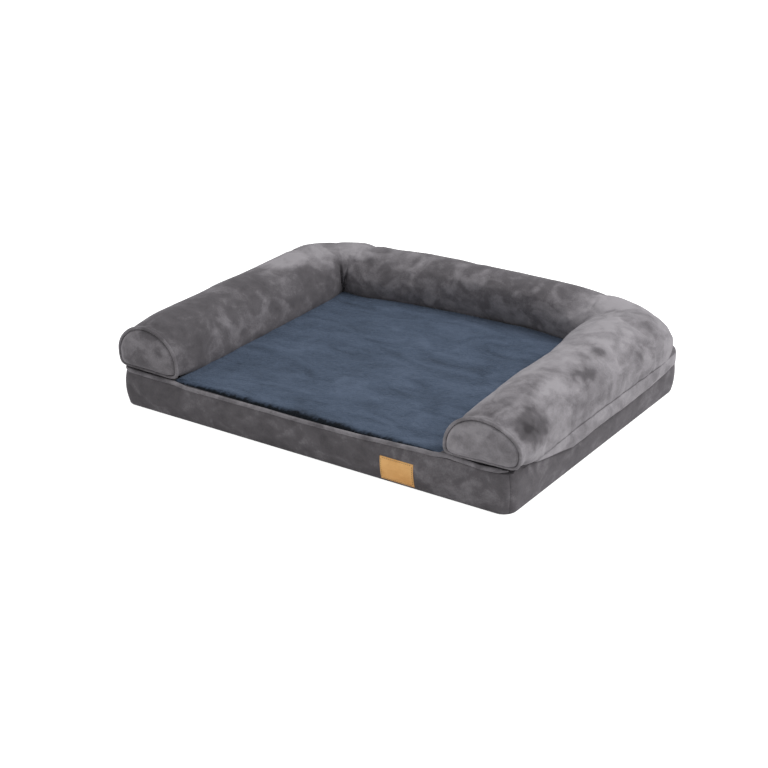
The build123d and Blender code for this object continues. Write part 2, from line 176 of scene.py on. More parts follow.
def tube(path, radius, sides=12, ring=False):
    """Points and faces of a round tube along a path, or round a closed path in an upright plane across Y.
    radius is one number or one for each point."""
    path = np.array(path, float)
    ahead = np.roll(path, -1, axis=0) - np.roll(path, 1, axis=0)
    if not ring:
        ahead[0] = path[1] - path[0]
        ahead[-1] = path[-1] - path[-2]
    ahead /= np.linalg.norm(ahead, axis=1)[:, None]
    verts = []
    for point, tangent, r in zip(path, ahead, np.broadcast_to(radius, len(path))):
        side = np.array((0.0, 1.0, 0.0)) if ring else np.cross(tangent, (0, 0, 1))
        side /= np.linalg.norm(side)
        up = np.cross(tangent, side) if ring else np.cross(side, tangent)
        for k in range(sides):
            angle = 2 * math.pi * k / sides
            verts.append(point + r * (math.cos(angle) * side + math.sin(angle) * up))
    faces = grid_faces(len(path), sides, close_rows=ring, close_columns=True)
    if not ring:
        faces.append(tuple(range(sides)))
        faces.append(tuple(range((len(path) - 1) * sides, len(path) * sides)))
    return verts, faces


def points_of(obj):
    """The mesh's points as an array."""
    flat = np.zeros(len(obj.data.vertices) * 3, np.float32)
    obj.data.vertices.foreach_get("co", flat)
    return flat.reshape(-1, 3).astype(float)


def set_points(obj, points):
    obj.data.vertices.foreach_set("co", points.astype(np.float32).ravel())
    obj.data.update()


def normals_of(obj):
    """The points' normals as an array."""
    flat = np.zeros(len(obj.data.vertices) * 3, np.float32)
    obj.data.vertex_normals.foreach_get("vector", flat)
    return flat.reshape(-1, 3).astype(float)


def clouds(points, size, seed):
    """Smooth noise from -1 to 1 over features of a size, one value for each point."""
    shift = Vector((seed * 7.31, seed * 3.17, seed * 5.77))
    return np.array([noise.noise(Vector(p) / size + shift) for p in points])


def waves(points, rows):
    """A sum of smooth noises, each with a height, a feature size and a seed."""
    return sum(height * clouds(points, size, seed) for height, size, seed in rows)


def side_normals(obj):
    """The points' normals, turned into the seam's plane where a sleeve ends at its cap or at the mitre."""
    points, normals = points_of(obj), normals_of(obj)
    normals[np.abs(points[:, 1] - arm_front) < 0.001, 1] = 0
    away = np.abs(points[:, 0]) - pivot_x - points[:, 1] + pivot_y
    seam = (np.abs(away) < 0.004) & (points[:, 1] > pivot_y)
    flat, level = np.ones(len(points)), np.zeros(len(points))
    across = np.stack([np.sign(points[:, 0]), -flat, level], axis=1) * math.sin(mitre)
    normals -= ((normals * across).sum(axis=1) * seam)[:, None] * across
    length = np.linalg.norm(normals, axis=1)
    normals[length < 0.3] = 0
    return normals / np.maximum(length, 0.3)[:, None]


def refine(obj):
    """Rounds and divides the mesh once."""
    rounder = obj.modifiers.new("round", "SUBSURF")
    rounder.levels = 1
    rounder.render_levels = 1
    rounder.boundary_smooth = "PRESERVE_CORNERS"
    graph = bpy.context.evaluated_depsgraph_get()
    mesh = bpy.data.meshes.new_from_object(obj.evaluated_get(graph))
    obj.modifiers.clear()
    old = obj.data
    obj.data = mesh
    bpy.data.meshes.remove(old)
    obj.data.shade_smooth()


def settle(obj, held):
    """Blows the stuffed form up as cloth, held where the seams are, and keeps the result."""
    start = points_of(obj)
    pins = obj.vertex_groups.new(name="held")
    pins.add([int(i) for i in np.flatnonzero(held)], 1.0, "REPLACE")
    cloth = obj.modifiers.new("cloth", "CLOTH")
    values = cloth.settings
    values.vertex_group_mass = "held"
    values.use_pressure = True
    values.uniform_pressure_force = sim_pressure
    values.shrink_min = -sim_slack
    values.effector_weights.gravity = 0
    values.quality = 5
    cloth.point_cache.frame_start = 1
    cloth.point_cache.frame_end = sim_frames
    scene = bpy.context.scene
    for step in range(1, sim_frames + 1):
        scene.frame_set(step)
    graph = bpy.context.evaluated_depsgraph_get()
    mesh = bpy.data.meshes.new_from_object(obj.evaluated_get(graph))
    flat = np.zeros(len(mesh.vertices) * 3, np.float32)
    mesh.vertices.foreach_get("co", flat)
    bpy.data.meshes.remove(mesh)
    obj.modifiers.clear()
    obj.vertex_groups.clear()
    scene.frame_set(1)
    move = flat.reshape(-1, 3).astype(float) - start
    length = np.linalg.norm(move, axis=1)
    move *= np.minimum(1, swell_limit / np.maximum(length, 1e-9))[:, None]
    set_points(obj, start + move)


def crease(points, path, width):
    """How much each point feels a fold line: 1 on it, fading across its width and at its ends."""
    best = np.zeros(len(points))
    count = len(path) - 1
    for k in range(count):
        a, b = path[k], path[k + 1]
        share = np.clip((points - a) @ (b - a) / ((b - a) @ (b - a)), 0, 1)
        away = np.linalg.norm(points - a - share[:, None] * (b - a), axis=1)
        fade = np.sin(math.pi * (0.12 + 0.76 * (k + share) / count))
        best = np.maximum(best, np.exp(-((away / width) ** 2)) * fade)
    return best


def fold_path(side, start, end):
    """Points of a line between two places on the finished bolster."""
    count = 9 if abs(end[0] - start[0]) < 0.6 else 60
    places = np.linspace(start, end, count)
    path = np.array([spot(side, *place) for place in places])
    path = np.where(places[:, :1] > 1.5, bowed(path), path)
    return pinched(path, side)


def fold(obj, folds):
    """Presses or raises fold lines along the normals. Each has a side, two places, a width and a height."""
    points, normals = points_of(obj), side_normals(obj)
    lift = np.zeros(len(points))
    for side, start, end, width, height in folds:
        lift += height * crease(points, fold_path(side, start, end), width)
    set_points(obj, points + lift[:, None] * normals)


def paint_nap_and_light(obj, base, patches=(), lines=(), ragged=0.0):
    """Writes the nap map on each point, from 0 dark to 1 light: partly how the crushed nap lies, partly
    painted light and painted shade, which its patches and lines add.
    """
    points = points_of(obj)
    if ragged:
        points += ragged * np.stack([clouds(points, 1.6 * ragged, seed) for seed in (5, 6, 7)], axis=1)
    nap_and_light = np.full(len(points), base, float)
    for centre, size, change in patches:
        away = np.linalg.norm((points - centre) / size, axis=1)
        nap_and_light += change * np.exp(-(away ** 2))
    for side, start, end, width, change in lines:
        nap_and_light += change * crease(points_of(obj), fold_path(side, start, end), width)
    layer = obj.data.attributes.new("nap_and_light", "FLOAT", "POINT")
    layer.data.foreach_set("value", nap_and_light.astype(np.float32))


# Materials
def new_material(name):
    material = bpy.data.materials.new(name)
    material.use_nodes = True
    nodes = material.node_tree.nodes
    shader = nodes["Principled BSDF"]
    return material, nodes, material.node_tree.links, shader


def set_inputs(node, values):
    """Sets a node's own sockets by name."""
    for name, value in values.items():
        node.inputs[name].default_value = value


def cloud_node(nodes, links, size, detail=3.0, distortion=0.0, stretch=(1, 1, 1)):
    """A noise texture in the piece's own coordinates, with features of a size in metres."""
    place = nodes.new("ShaderNodeTexCoord")
    mapping = nodes.new("ShaderNodeMapping")
    set_inputs(mapping, {"Scale": stretch})
    texture = nodes.new("ShaderNodeTexNoise")
    set_inputs(texture, {"Scale": 1 / size, "Detail": detail, "Distortion": distortion})
    links.new(place.outputs["Object"], mapping.inputs["Vector"])
    links.new(mapping.outputs["Vector"], texture.inputs["Vector"])
    return texture.outputs["Fac"]


def math_node(nodes, links, operation, first, second, third=None):
    node = nodes.new("ShaderNodeMath")
    node.operation = operation
    for socket, value in zip(node.inputs, (first, second, third)):
        if value is None:
            continue
        if isinstance(value, (int, float)):
            socket.default_value = value
        else:
            links.new(value, socket)
    return node.outputs["Value"]


def ramp_node(nodes, links, factor, stops):
    node = nodes.new("ShaderNodeValToRGB")
    while len(node.color_ramp.elements) < len(stops):
        node.color_ramp.elements.new(0.5)
    for element, (position, colour) in zip(node.color_ramp.elements, stops):
        element.position = position
        element.color = (*colour, 1)
    links.new(factor, node.inputs["Fac"])
    return node.outputs["Color"]


def bump_node(nodes, links, shader, height, strength, distance):
    node = nodes.new("ShaderNodeBump")
    set_inputs(node, {"Strength": strength, "Distance": distance})
    links.new(height, node.inputs["Height"])
    links.new(node.outputs["Normal"], shader.inputs["Normal"])


def nap_and_light_node(nodes):
    """The nap map, crushed nap with painted light and shade, as the brushing function writes it."""
    node = nodes.new("ShaderNodeAttribute")
    node.attribute_name = "nap_and_light"
    return node.outputs["Fac"]


def layered(nodes, links, base, layers, offset):
    """A tone from a base and weighted layers on it, less an offset."""
    for value, weight in layers:
        base = math_node(nodes, links, "MULTIPLY_ADD", value, weight, base)
    return math_node(nodes, links, "SUBTRACT", base, offset)


def soft_gloss(shader, roughness, specular, sheen, tint):
    """The dull face of a pile cloth with its pale edge."""
    set_inputs(shader, {"Roughness": roughness, "Specular IOR Level": specular, "Sheen Weight": sheen,
                        "Sheen Roughness": 0.4, "Sheen Tint": (*tint, 1)})


def velvet(name, dark, middle, light):
    """Crushed velvet: the nap map, partly crushed nap and partly painted light and shade, picks the tone,
    with soft mottles and a short bright pile.
    """
    material, nodes, links, shader = new_material(name)
    broad = cloud_node(nodes, links, 0.075, 4.0, 0.9, (1.0, 0.8, 1.2))
    crushed = nodes.new("ShaderNodeMapRange")
    crushed.interpolation_type = "SMOOTHSTEP"
    set_inputs(crushed, {"From Min": 0.40, "From Max": 0.60})
    links.new(broad, crushed.inputs["Value"])
    mottle = cloud_node(nodes, links, 0.030, 3.0, 0.35, (1.0, 1.0, 1.3))
    fine = cloud_node(nodes, links, 0.0035, 3.0, 0.4)
    layers = ((crushed.outputs["Result"], 0.17), (mottle, 0.50), (fine, 0.24))
    tone = layered(nodes, links, nap_and_light_node(nodes), layers, 0.455)
    colour = ramp_node(nodes, links, tone, ((0.0, dark), (0.5, middle), (1.0, light)))
    links.new(colour, shader.inputs["Base Color"])
    soft_gloss(shader, 0.92, 0.12, 0.25, (0.62, 0.6, 0.64))
    pile = math_node(nodes, links, "MULTIPLY_ADD", mottle, 1.6, fine)
    bump_node(nodes, links, shader, pile, 0.35, 0.0012)
    return material


def plush():
    """Soft blue-grey plush with brushed swirls and a deep pile, darker where the nap map paints shade."""
    material, nodes, links, shader = new_material("plush")
    swirl = cloud_node(nodes, links, 0.085, 5.0, 1.2, (0.55, 1.3, 1.0))
    tuft = cloud_node(nodes, links, 0.012, 4.0, 1.0)
    fibre = cloud_node(nodes, links, 0.0028, 3.0, 0.6)
    tone = layered(nodes, links, swirl, ((tuft, 0.40), (fibre, 0.22), (nap_and_light_node(nodes), 1.0)), 0.31)
    stops = (
        (0.0, (0.006, 0.008, 0.011)),
        (0.3, (0.049, 0.067, 0.101)),
        (0.5, (0.071, 0.096, 0.143)),
        (0.8, (0.106, 0.138, 0.200)),
    )
    links.new(ramp_node(nodes, links, tone, stops), shader.inputs["Base Color"])
    soft_gloss(shader, 0.95, 0.1, 0.2, (0.5, 0.58, 0.7))
    pile = math_node(nodes, links, "MULTIPLY_ADD", tuft, 2.0, fibre)
    bump_node(nodes, links, shader, pile, 0.7, 0.002)
    return material


def woven(name, low, high, thread):
    """Plain weave of a thread's width."""
    material, nodes, links, shader = new_material(name)
    place = nodes.new("ShaderNodeTexCoord")
    yarns = []
    for direction in ("X", "Y"):
        wave = nodes.new("ShaderNodeTexWave")
        wave.bands_direction = direction
        set_inputs(wave, {"Scale": 1 / (thread * 2 * math.pi), "Distortion": 0.4})
        links.new(place.outputs["Object"], wave.inputs["Vector"])
        yarns.append(wave.outputs["Fac"])
    weave = math_node(nodes, links, "MULTIPLY", *yarns)
    cloud = cloud_node(nodes, links, 0.02, 4.0)
    tone = math_node(nodes, links, "MULTIPLY_ADD", weave, 0.5, cloud)
    colour = ramp_node(nodes, links, tone, ((0.2, low), (0.9, high)))
    links.new(colour, shader.inputs["Base Color"])
    set_inputs(shader, {"Roughness": 0.9})
    bump_node(nodes, links, shader, weave, 0.5, thread / 2)
    return material


def mottled(name, low, high, size, roughness, metallic=0.0, bump=0.3):
    """A plain stuff with slight changes of tone, such as foam, moulded coil or painted metal."""
    material, nodes, links, shader = new_material(name)
    cloud = cloud_node(nodes, links, size, 5.0, 0.3)
    colour = ramp_node(nodes, links, cloud, ((0.3, low), (0.7, high)))
    links.new(colour, shader.inputs["Base Color"])
    set_inputs(shader, {"Roughness": roughness, "Metallic": metallic})
    bump_node(nodes, links, shader, cloud, bump, size / 4)
    return material


def label_hide():
    """Tan imitation leather with a fine brushed grain across it."""
    material, nodes, links, shader = new_material("label_hide")
    grain = cloud_node(nodes, links, 0.006, 4.0, 0.2, (0.25, 1.0, 4.0))
    cloud = cloud_node(nodes, links, 0.03, 3.0, 0.5)
    tone = math_node(nodes, links, "MULTIPLY_ADD", grain, 0.5, cloud)
    stops = ((0.45, (0.76, 0.385, 0.120)), (0.95, (0.92, 0.53, 0.20)))
    links.new(ramp_node(nodes, links, tone, stops), shader.inputs["Base Color"])
    set_inputs(shader, {"Roughness": 0.6, "Specular IOR Level": 0.3})
    bump_node(nodes, links, shader, grain, 0.25, 0.0006)
    return material


grey_dark = (0.050, 0.046, 0.050)
grey_middle = (0.128, 0.120, 0.129)
grey_light = (0.350, 0.333, 0.353)
velvet_cloth = velvet("velvet", grey_dark, grey_middle, grey_light)
plush_cloth = plush()
lining_cloth = woven("lining", (0.05, 0.05, 0.055), (0.11, 0.11, 0.115), 0.0006)
bottom_cloth = woven("bottom_cloth", (0.02, 0.02, 0.023), (0.05, 0.05, 0.055), 0.0008)
grip_stuff = mottled("grip", (0.012, 0.012, 0.013), (0.03, 0.03, 0.032), 0.002, 0.45)
foam_stuff = mottled("foam", (0.72, 0.68, 0.52), (0.84, 0.81, 0.68), 0.0015, 0.95)
fibre_stuff = mottled("fibre", (0.78, 0.78, 0.76), (0.9, 0.9, 0.88), 0.004, 0.95, bump=0.8)
tape_cloth = woven("zip_tape", (0.025, 0.025, 0.028), (0.06, 0.06, 0.065), 0.0005)
coil_stuff = mottled("zip_coil", (0.02, 0.02, 0.022), (0.045, 0.045, 0.05), 0.003, 0.4)
metal_stuff = mottled("zip_metal", (0.05, 0.05, 0.055), (0.09, 0.09, 0.095), 0.002, 0.32, 0.85, 0.1)
thread_stuff = mottled("label_thread", (0.06, 0.045, 0.03), (0.13, 0.1, 0.07), 0.001, 0.8)
hide_stuff = label_hide()


# Bolster geometry
def section(width, crown, inset, foot, count):
    """Points round a D-shaped section from its inner foot over the top to its outer foot."""
    half_span, rise = (inner_belly + width + outer_belly) / 2 - inset, crown - belly - inset
    middle = (width + outer_belly - inner_belly) / 2
    t = np.linspace(0, 1, 60)[:, None]
    foot_end, crown_end = (-half_span, 0), (0, rise)
    handles = (-half_span, belly_handle * rise), (-crown_handle * half_span, rise)
    a, b, c, d = np.array([foot_end, *handles, crown_end])
    curve = (1 - t) ** 3 * a + 3 * (1 - t) ** 2 * t * b + 3 * (1 - t) * t ** 2 * c + t ** 3 * d

    def low(depth, side, edge):
        size = (depth ** 2 + belly ** 2) / (2 * depth)
        centre = edge + side * (depth - size)
        angles = np.linspace(0, math.asin((belly - foot) / (size - inset)), 24)
        reach = size - inset
        return np.stack([centre + side * reach * np.cos(angles), belly - reach * np.sin(angles)], 1)

    line = np.concatenate([
        low(inner_belly, -1, 0)[::-1],
        (curve + (middle, belly))[1:],
        (curve * (-1, 1) + (middle, belly))[::-1][1:],
        low(outer_belly, 1, width)[1:],
    ])
    return resample(line, count)


def resample(line, count):
    """The same line with evenly spaced points."""
    steps = np.linalg.norm(np.diff(line, axis=0), axis=1)
    along = np.concatenate([[0], np.cumsum(steps)])
    at = np.linspace(0, along[-1], count)
    return np.stack([np.interp(at, along, line[:, k]) for k in range(line.shape[1])], axis=1)


def corner_width(angle):
    """Width of the bolster along a ray from the inner corner."""
    cosine, sine = math.cos(angle), math.sin(angle)
    side, rear = arm_width + inner_radius, back_width + inner_radius
    centre_x, centre_y = side - outer_radius, rear - outer_radius
    if side * sine <= centre_y * cosine:
        return side / cosine - inner_radius
    if rear * cosine <= centre_x * sine:
        return rear / sine - inner_radius
    along = centre_x * cosine + centre_y * sine
    across = centre_x * sine - centre_y * cosine
    return along + math.sqrt(outer_radius ** 2 - across ** 2) - inner_radius


def arm_station(y):
    """Where a section of the right arm stands: its inner foot, its direction, width and crown."""
    return (inner_x, y), (1.0, 0.0), arm_width, arm_crown


def corner_station(angle):
    """A section on a ray from the inner corner."""
    cosine, sine = math.cos(angle), math.sin(angle)
    foot = (pivot_x + inner_radius * cosine, pivot_y + inner_radius * sine)
    crown = arm_crown - back_drop * angle / quarter - corner_dip * math.sin(2 * angle) ** 2
    return foot, (cosine, sine), corner_width(angle), crown


def back_station(x):
    """A section of the back bolster."""
    return (x, inner_back_y), (0.0, 1.0), back_width, arm_crown - back_drop


def mirrored(station):
    (x, y), (a, b), width, crown = station
    return (-x, y), (-a, b), width, crown


def sided(rows, side):
    """The same sections on the named side."""
    return [(station if side > 0 else mirrored(station), inset) for station, inset in rows]


def spot(side, along, around):
    """A place on the bolster: 0 to 1 up the arm, 1 to 2 round the corner, 2 to 3 to the back's middle, and
    around it from the inner foot to the outer one."""
    if along <= 1:
        station = arm_station(arm_front + (pivot_y - arm_front) * along)
    elif along <= 2:
        station = corner_station((along - 1) * quarter)
    else:
        station = back_station(pivot_x * (3 - along))
    (x, y), (a, b), width, crown = station
    line = section(width, crown, 0, 0, 101)
    u, v = line[int(round(max(0.0, around) * 100))]
    return np.array((side * (x + a * u), y + b * u, deck + v))


def loop_at(station, inset, foot, top_count=around_count, bottom_count=foot_count):
    """Closed section in space: over the top, then back along the foot."""
    (x, y), (a, b), width, crown = station
    line = section(width, crown, inset, foot, top_count)
    foot_line = np.linspace(line[-1], line[0], bottom_count + 2)[1:-1]
    line = np.concatenate([line, foot_line])
    return np.stack([x + a * line[:, 0], y + b * line[:, 0], deck + line[:, 1]], axis=1)


def closed_form(name, loops, material, dome=0.0):
    """A closed form from a row of loops, with its ends filled and domed out a little."""
    loops = list(loops)
    middles = [loop.mean(axis=0) for loop in loops]
    ends = []
    for index, before in ((0, 1), (-1, -2)):
        ahead = middles[index] - middles[before]
        push = dome * ahead / np.linalg.norm(ahead)
        ends.append([middles[index] + (loops[index] - middles[index]) * share + push * (1 - 0.5 * share ** 4)
                     for share in (1.0, 0.93, 0.75, 0.45, 0.15)])
    loops = ends[0][::-1] + loops + ends[1]
    count = len(loops[0])
    verts = np.concatenate(loops)
    faces = grid_faces(len(loops), count, close_columns=True)
    faces.append(tuple(range(count)))
    faces.append(tuple(range((len(loops) - 1) * count, len(loops) * count)))
    return new_piece(name, verts, faces, material)


def arm_rows(inset, step=arm_step, steps=corner_steps):
    """Sections of the right arm from its cap to the mitre: station and how far it is drawn in."""
    taper = 0.110
    draw = 0.0075
    count = int((pivot_y - arm_front) / step)
    rows = []
    for y in np.linspace(arm_front, pivot_y, count):
        share = max(0.0, 1 - (y - arm_front) / taper)
        rows.append((arm_station(y), inset + draw * share ** 2.2))
    for angle in np.linspace(0, mitre, steps + 1)[1:]:
        rows.append((corner_station(angle), inset))
    return rows


def back_rows(inset, step=arm_step, steps=corner_steps):
    """Sections of the back bolster from the right mitre to the left one."""
    turn = [corner_station(angle) for angle in np.linspace(mitre, quarter, steps + 1)[:-1]]
    count = int(2 * pivot_x / step)
    run = [back_station(x) for x in np.linspace(pivot_x, -pivot_x, count)]
    stations = turn + run + [mirrored(s) for s in turn[::-1]]
    return [(s, inset) for s in stations]


def puff_up(obj, size, height, seed):
    """Uneven filling: broad soft lumps along the normals."""
    points, normals = points_of(obj), side_normals(obj)
    above = np.clip((points[:, 2] - deck) / 0.03, 0, 1)
    set_points(obj, points + (height * above * clouds(points, size, seed))[:, None] * normals)


def bulge(obj, place, reach, push):
    """Pushes the form outward round a place, fading over its reach."""
    points = points_of(obj)
    weight = np.exp(-(((points - place) / reach) ** 2).sum(axis=1))
    low = np.clip((points[:, 2] - deck) / 0.004, 0, 1)
    set_points(obj, points + (weight * np.maximum(low, 0.25))[:, None] * push)


def swell(obj, side):
    """All the bulges of one arm."""
    for place, reach, push in arm_bulges[side]:
        bulge(obj, place, reach, push)


def spread_corner(obj, side):
    """Fuller outer side of the bolster where it turns the corner."""
    spread, rise, height, inner_reach = 0.017, 0.02, 0.060, 0.07
    points = points_of(obj)
    corner = (half_width - outer_radius, back_y - outer_radius)
    away = np.stack([side * points[:, 0], points[:, 1]], axis=1) - corner
    turn = np.arctan2(np.maximum(away[:, 1], 0), np.maximum(away[:, 0], 1e-6))
    size = np.maximum(np.linalg.norm(away, axis=1), 1e-6)
    outer = np.clip((size - inner_reach) / (outer_radius - inner_reach), 0, 1)
    low = np.clip(1 - ((points[:, 2] - deck - rise) / height) ** 2, 0, 1)
    push = spread * np.sin(2 * turn) ** 2 * outer * low
    points[:, 0] += side * push * away[:, 0] / size
    points[:, 1] += push * away[:, 1] / size
    set_points(obj, points)


def bowed(points):
    """The back bolster's inner foot runs in a slack curve and not in a straight line."""
    xs, shifts = zip(*back_bow)
    inner = np.clip(1 - (points[:, 1] - inner_back_y) / 0.10, 0, 1)
    low = 0.25 + 0.75 * np.clip(1 - (points[:, 2] - deck) / 0.09, 0, 1)
    moved = points.copy()
    moved[:, 1] += np.interp(points[:, 0], xs, shifts) * inner * low
    return moved


def pinched(points, side, depth=0.014):
    """The sleeves are drawn into the mitre at the inner corner, deepest at the deck."""
    reach, fade = 0.024, 0.09
    shift = inner_radius * math.cos(mitre)
    corner = np.array([side * (pivot_x + shift), pivot_y + shift])
    away = np.linalg.norm(points[:, :2] - corner, axis=1)
    height = np.clip(1 - (points[:, 2] - deck) / fade, 0, 1) ** 0.7
    pull = depth * np.exp(-((away / reach) ** 2)) * height
    return points + pull[:, None] * (side * math.cos(mitre), math.sin(mitre), 0)


def mitre_seam(obj, side, width=0.006, depth=0.0012):
    """Presses the sleeve in along the mitre seam, less on its top."""
    points, normals = points_of(obj), side_normals(obj)
    beside, behind = side * points[:, 0] - pivot_x, points[:, 1] - pivot_y
    away = np.abs(beside * math.sin(mitre) - behind * math.cos(mitre))
    beyond = (beside > 0) & (behind > 0)
    low = np.clip(1.4 - (points[:, 2] - deck) / 0.10, 0.1, 1)
    inward = depth * np.exp(-((away / width) ** 2)) * beyond * low
    set_points(obj, points - inward[:, None] * normals)


def foot_lift(side, beside, above):
    """How far the arm's front end is lifted, by the distance from its inner foot and above the deck."""
    height = 0.05
    inner_lift, outer_lift = arm_lift[side]
    across = np.clip(beside / arm_width, 0, 1)
    return np.clip(1 - above / height, 0, 1) * (inner_lift + (outer_lift - inner_lift) * across)


def raise_foot(obj, side):
    """Lifts the arm's underside off the tray towards its cap."""
    fade = 0.13
    points = points_of(obj)
    near = np.clip(1 - (points[:, 1] - arm_front) / fade, 0, 1) ** 1.5
    points[:, 2] += near * foot_lift(side, side * points[:, 0] - inner_x, points[:, 2] - deck)
    set_points(obj, points)


def pucker(obj, seed):
    """Small gathers behind the ring of piping."""
    reach, height = 0.032, 0.0022
    points, normals = points_of(obj), side_normals(obj)
    near = np.exp(-((points[:, 1] - arm_front) / reach) ** 2)
    flat = points.copy()
    flat[:, 1] *= 0.12
    lift = height * near * clouds(flat, 0.011, seed)
    set_points(obj, points + lift[:, None] * normals)


# How far the front ends of the arms stand off the tray, at the inner and the outer foot
arm_lift = {-1: (0.003, 0.006), 1: (0.012, 0.020)}

# Where the back's foot lies behind or before its straight line, from left to right
back_bow = ((-0.36, -0.004), (-0.30, -0.004), (-0.20, 0.016), (-0.06, 0.030), (0.08, 0.038), (0.17, 0.040),
            (0.27, 0.024), (0.36, 0.0))

# Bulges of the arms: place, reach and push
arm_bulges = {
    -1: (
        ((-0.364, -0.10, 0.100), (0.03, 0.45, 0.030), (0.010, 0, 0)),
        ((-0.548, -0.396, 0.140), (0.08, 0.20, 0.080), (0.005, 0, 0)),
        ((-0.450, 0.130, 0.200), (0.10, 0.10, 0.10), (0, 0, -0.005)),
    ),
    1: (
        ((0.364, -0.15, 0.100), (0.03, 0.35, 0.030), (-0.012, 0, 0)),
        ((0.366, 0.21, 0.165), (0.06, 0.15, 0.055), (-0.030, 0, 0)),
        ((0.450, -0.396, 0.150), (9.0, 0.16, 9.0), (0.008, 0, 0)),
        ((0.525, -0.396, 0.165), (0.05, 0.12, 0.045), (0.012, 0, -0.002)),
    ),
}

back_bulges = (
    ((0.06, 0.33, 0.200), (0.24, 0.20, 0.12), (0, 0, 0.009)),
    ((-0.27, 0.33, 0.200), (0.09, 0.20, 0.12), (0, 0, -0.006)),
)

# Fold lines: side, from, to, width and height in metres
folds = (
    (-1, (1.41, 0.27), (1.34, -0.03), 0.0030, -0.0090),
    (-1, (1.74, 0.23), (1.50, -0.03), 0.0030, -0.0090),
    (-1, (1.70, 0.22), (2.12, 0.34), 0.0060, -0.0020),
    (-1, (1.68, 0.12), (2.06, 0.20), 0.0050, -0.0018),
    (-1, (1.62, 0.36), (1.95, 0.47), 0.0070, -0.0020),
    (-1, (1.30, 0.26), (0.90, 0.34), 0.0060, -0.0018),
    (-1, (1.30, 0.14), (0.93, 0.17), 0.0050, -0.0015),
    (-1, (0.02, 0.10), (0.10, 0.16), 0.0045, -0.0020),
    (-1, (0.02, 0.30), (0.13, 0.27), 0.0060, -0.0018),
    (1, (1.50, 0.40), (1.50, 0.01), 0.0050, -0.0070),
    (1, (1.42, 0.34), (1.02, 0.44), 0.0070, -0.0018),
    (1, (1.60, 0.30), (2.05, 0.38), 0.0060, -0.0020),
    (1, (1.60, 0.16), (2.00, 0.20), 0.0050, -0.0016),
    (1, (0.035, 0.80), (0.03, 0.97), 0.0060, -0.0030),
    (1, (0.02, 0.55), (0.15, 0.62), 0.0070, -0.0016),
    (1, (0.02, 0.22), (0.14, 0.28), 0.0060, -0.0018),
    (1, (0.30, 0.82), (0.62, 0.92), 0.0120, -0.0020),
)


def finish_sleeve(sleeve, node, sides):
    """Seams, folds and small lumps of a stuffed sleeve."""
    lump, height, seed = 0.045, 0.0009, 17
    for side in sides:
        spread_corner(sleeve, side)
        set_points(sleeve, pinched(points_of(sleeve), side))
        mitre_seam(sleeve, side)
    fold(sleeve, folds)
    puff_up(sleeve, lump, height, seed)
    dress(sleeve, node)


def sewn(obj):
    """Which points of a sleeve its seams hold: at the foot, the cap, the inner corner and the mitre."""
    seam_zone, corner_zone, mitre_zone = 0.004, 0.012, 0.008
    points = points_of(obj)
    held = (points[:, 2] < deck + seam_zone) | (points[:, 1] < arm_front + seam_zone)
    beside, behind = np.abs(points[:, 0]) - pivot_x, points[:, 1] - pivot_y
    held |= np.hypot(beside, behind) < inner_radius + corner_zone
    return held | ((np.abs(beside - behind) < mitre_zone) & (points[:, 1] > pivot_y))


def stuffed(name, rows):
    """A sleeve from its sections, blown up as cloth between its seams."""
    lump, height, seed = 0.16, 0.0035, 3
    loops = [loop_at(station, inset, inset) for station, inset in rows]
    sleeve = closed_form(f"{name}_bolster_sleeve", loops, velvet_cloth, seam_dome)
    puff_up(sleeve, lump, height, seed)
    settle(sleeve, sewn(sleeve))
    refine(sleeve)
    return sleeve


def make_arm(side):
    """One arm's sleeve, stuffed and drawn in at its cap."""
    name = "left" if side < 0 else "right"
    sleeve = stuffed(name, sided(arm_rows(0.0), side))
    raise_foot(sleeve, side)
    swell(sleeve, side)
    pucker(sleeve, 11 + side)
    finish_sleeve(sleeve, f"{name}_bolster_cover", (side,))
    return sleeve


def make_back():
    """The back bolster's sleeve between the two mitres."""
    sleeve = stuffed("back", back_rows(0.0))
    set_points(sleeve, bowed(points_of(sleeve)))
    for place, reach, push in back_bulges:
        bulge(sleeve, place, reach, push)
    finish_sleeve(sleeve, "back_bolster_cover", (-1, 1))
    return sleeve


def make_fill(name, rows, side, corners):
    """Fibre filling inside a sleeve."""
    foot_room, top_count, bottom_count = 0.004, 30, 8
    lump, height, pinch = 0.05, 0.002, 0.026
    loops = [loop_at(station, inset, inset - foot_room, top_count, bottom_count)
             for station, inset in sided(rows, side)]
    fill = closed_form(f"{name}_bolster_filling", loops, fibre_stuff)
    puff_up(fill, lump, height, 31 + side)
    for corner in corners:
        set_points(fill, pinched(points_of(fill), corner, pinch))
    if name == "back":
        set_points(fill, bowed(points_of(fill)))
    else:
        raise_foot(fill, side)
        swell(fill, side)
    dress(fill, f"{name}_bolster_fill")


# Caps and their piping
def cap_outline(side, inset, count):
    """The D of an arm's end as a closed line of x and z, its foot lifted off the tray."""
    line = section(arm_width, arm_crown, inset, inset, count)
    foot = np.linspace(line[-1], line[0], count // 2)[1:-1]
    line = np.concatenate([line, foot])
    for _ in range(16):
        line = line * 0.5 + (np.roll(line, 1, axis=0) + np.roll(line, -1, axis=0)) * 0.25
    line[:, 1] += foot_lift(side, line[:, 0], line[:, 1])
    return np.stack([side * (inner_x + line[:, 0]), deck + line[:, 1]], axis=1)


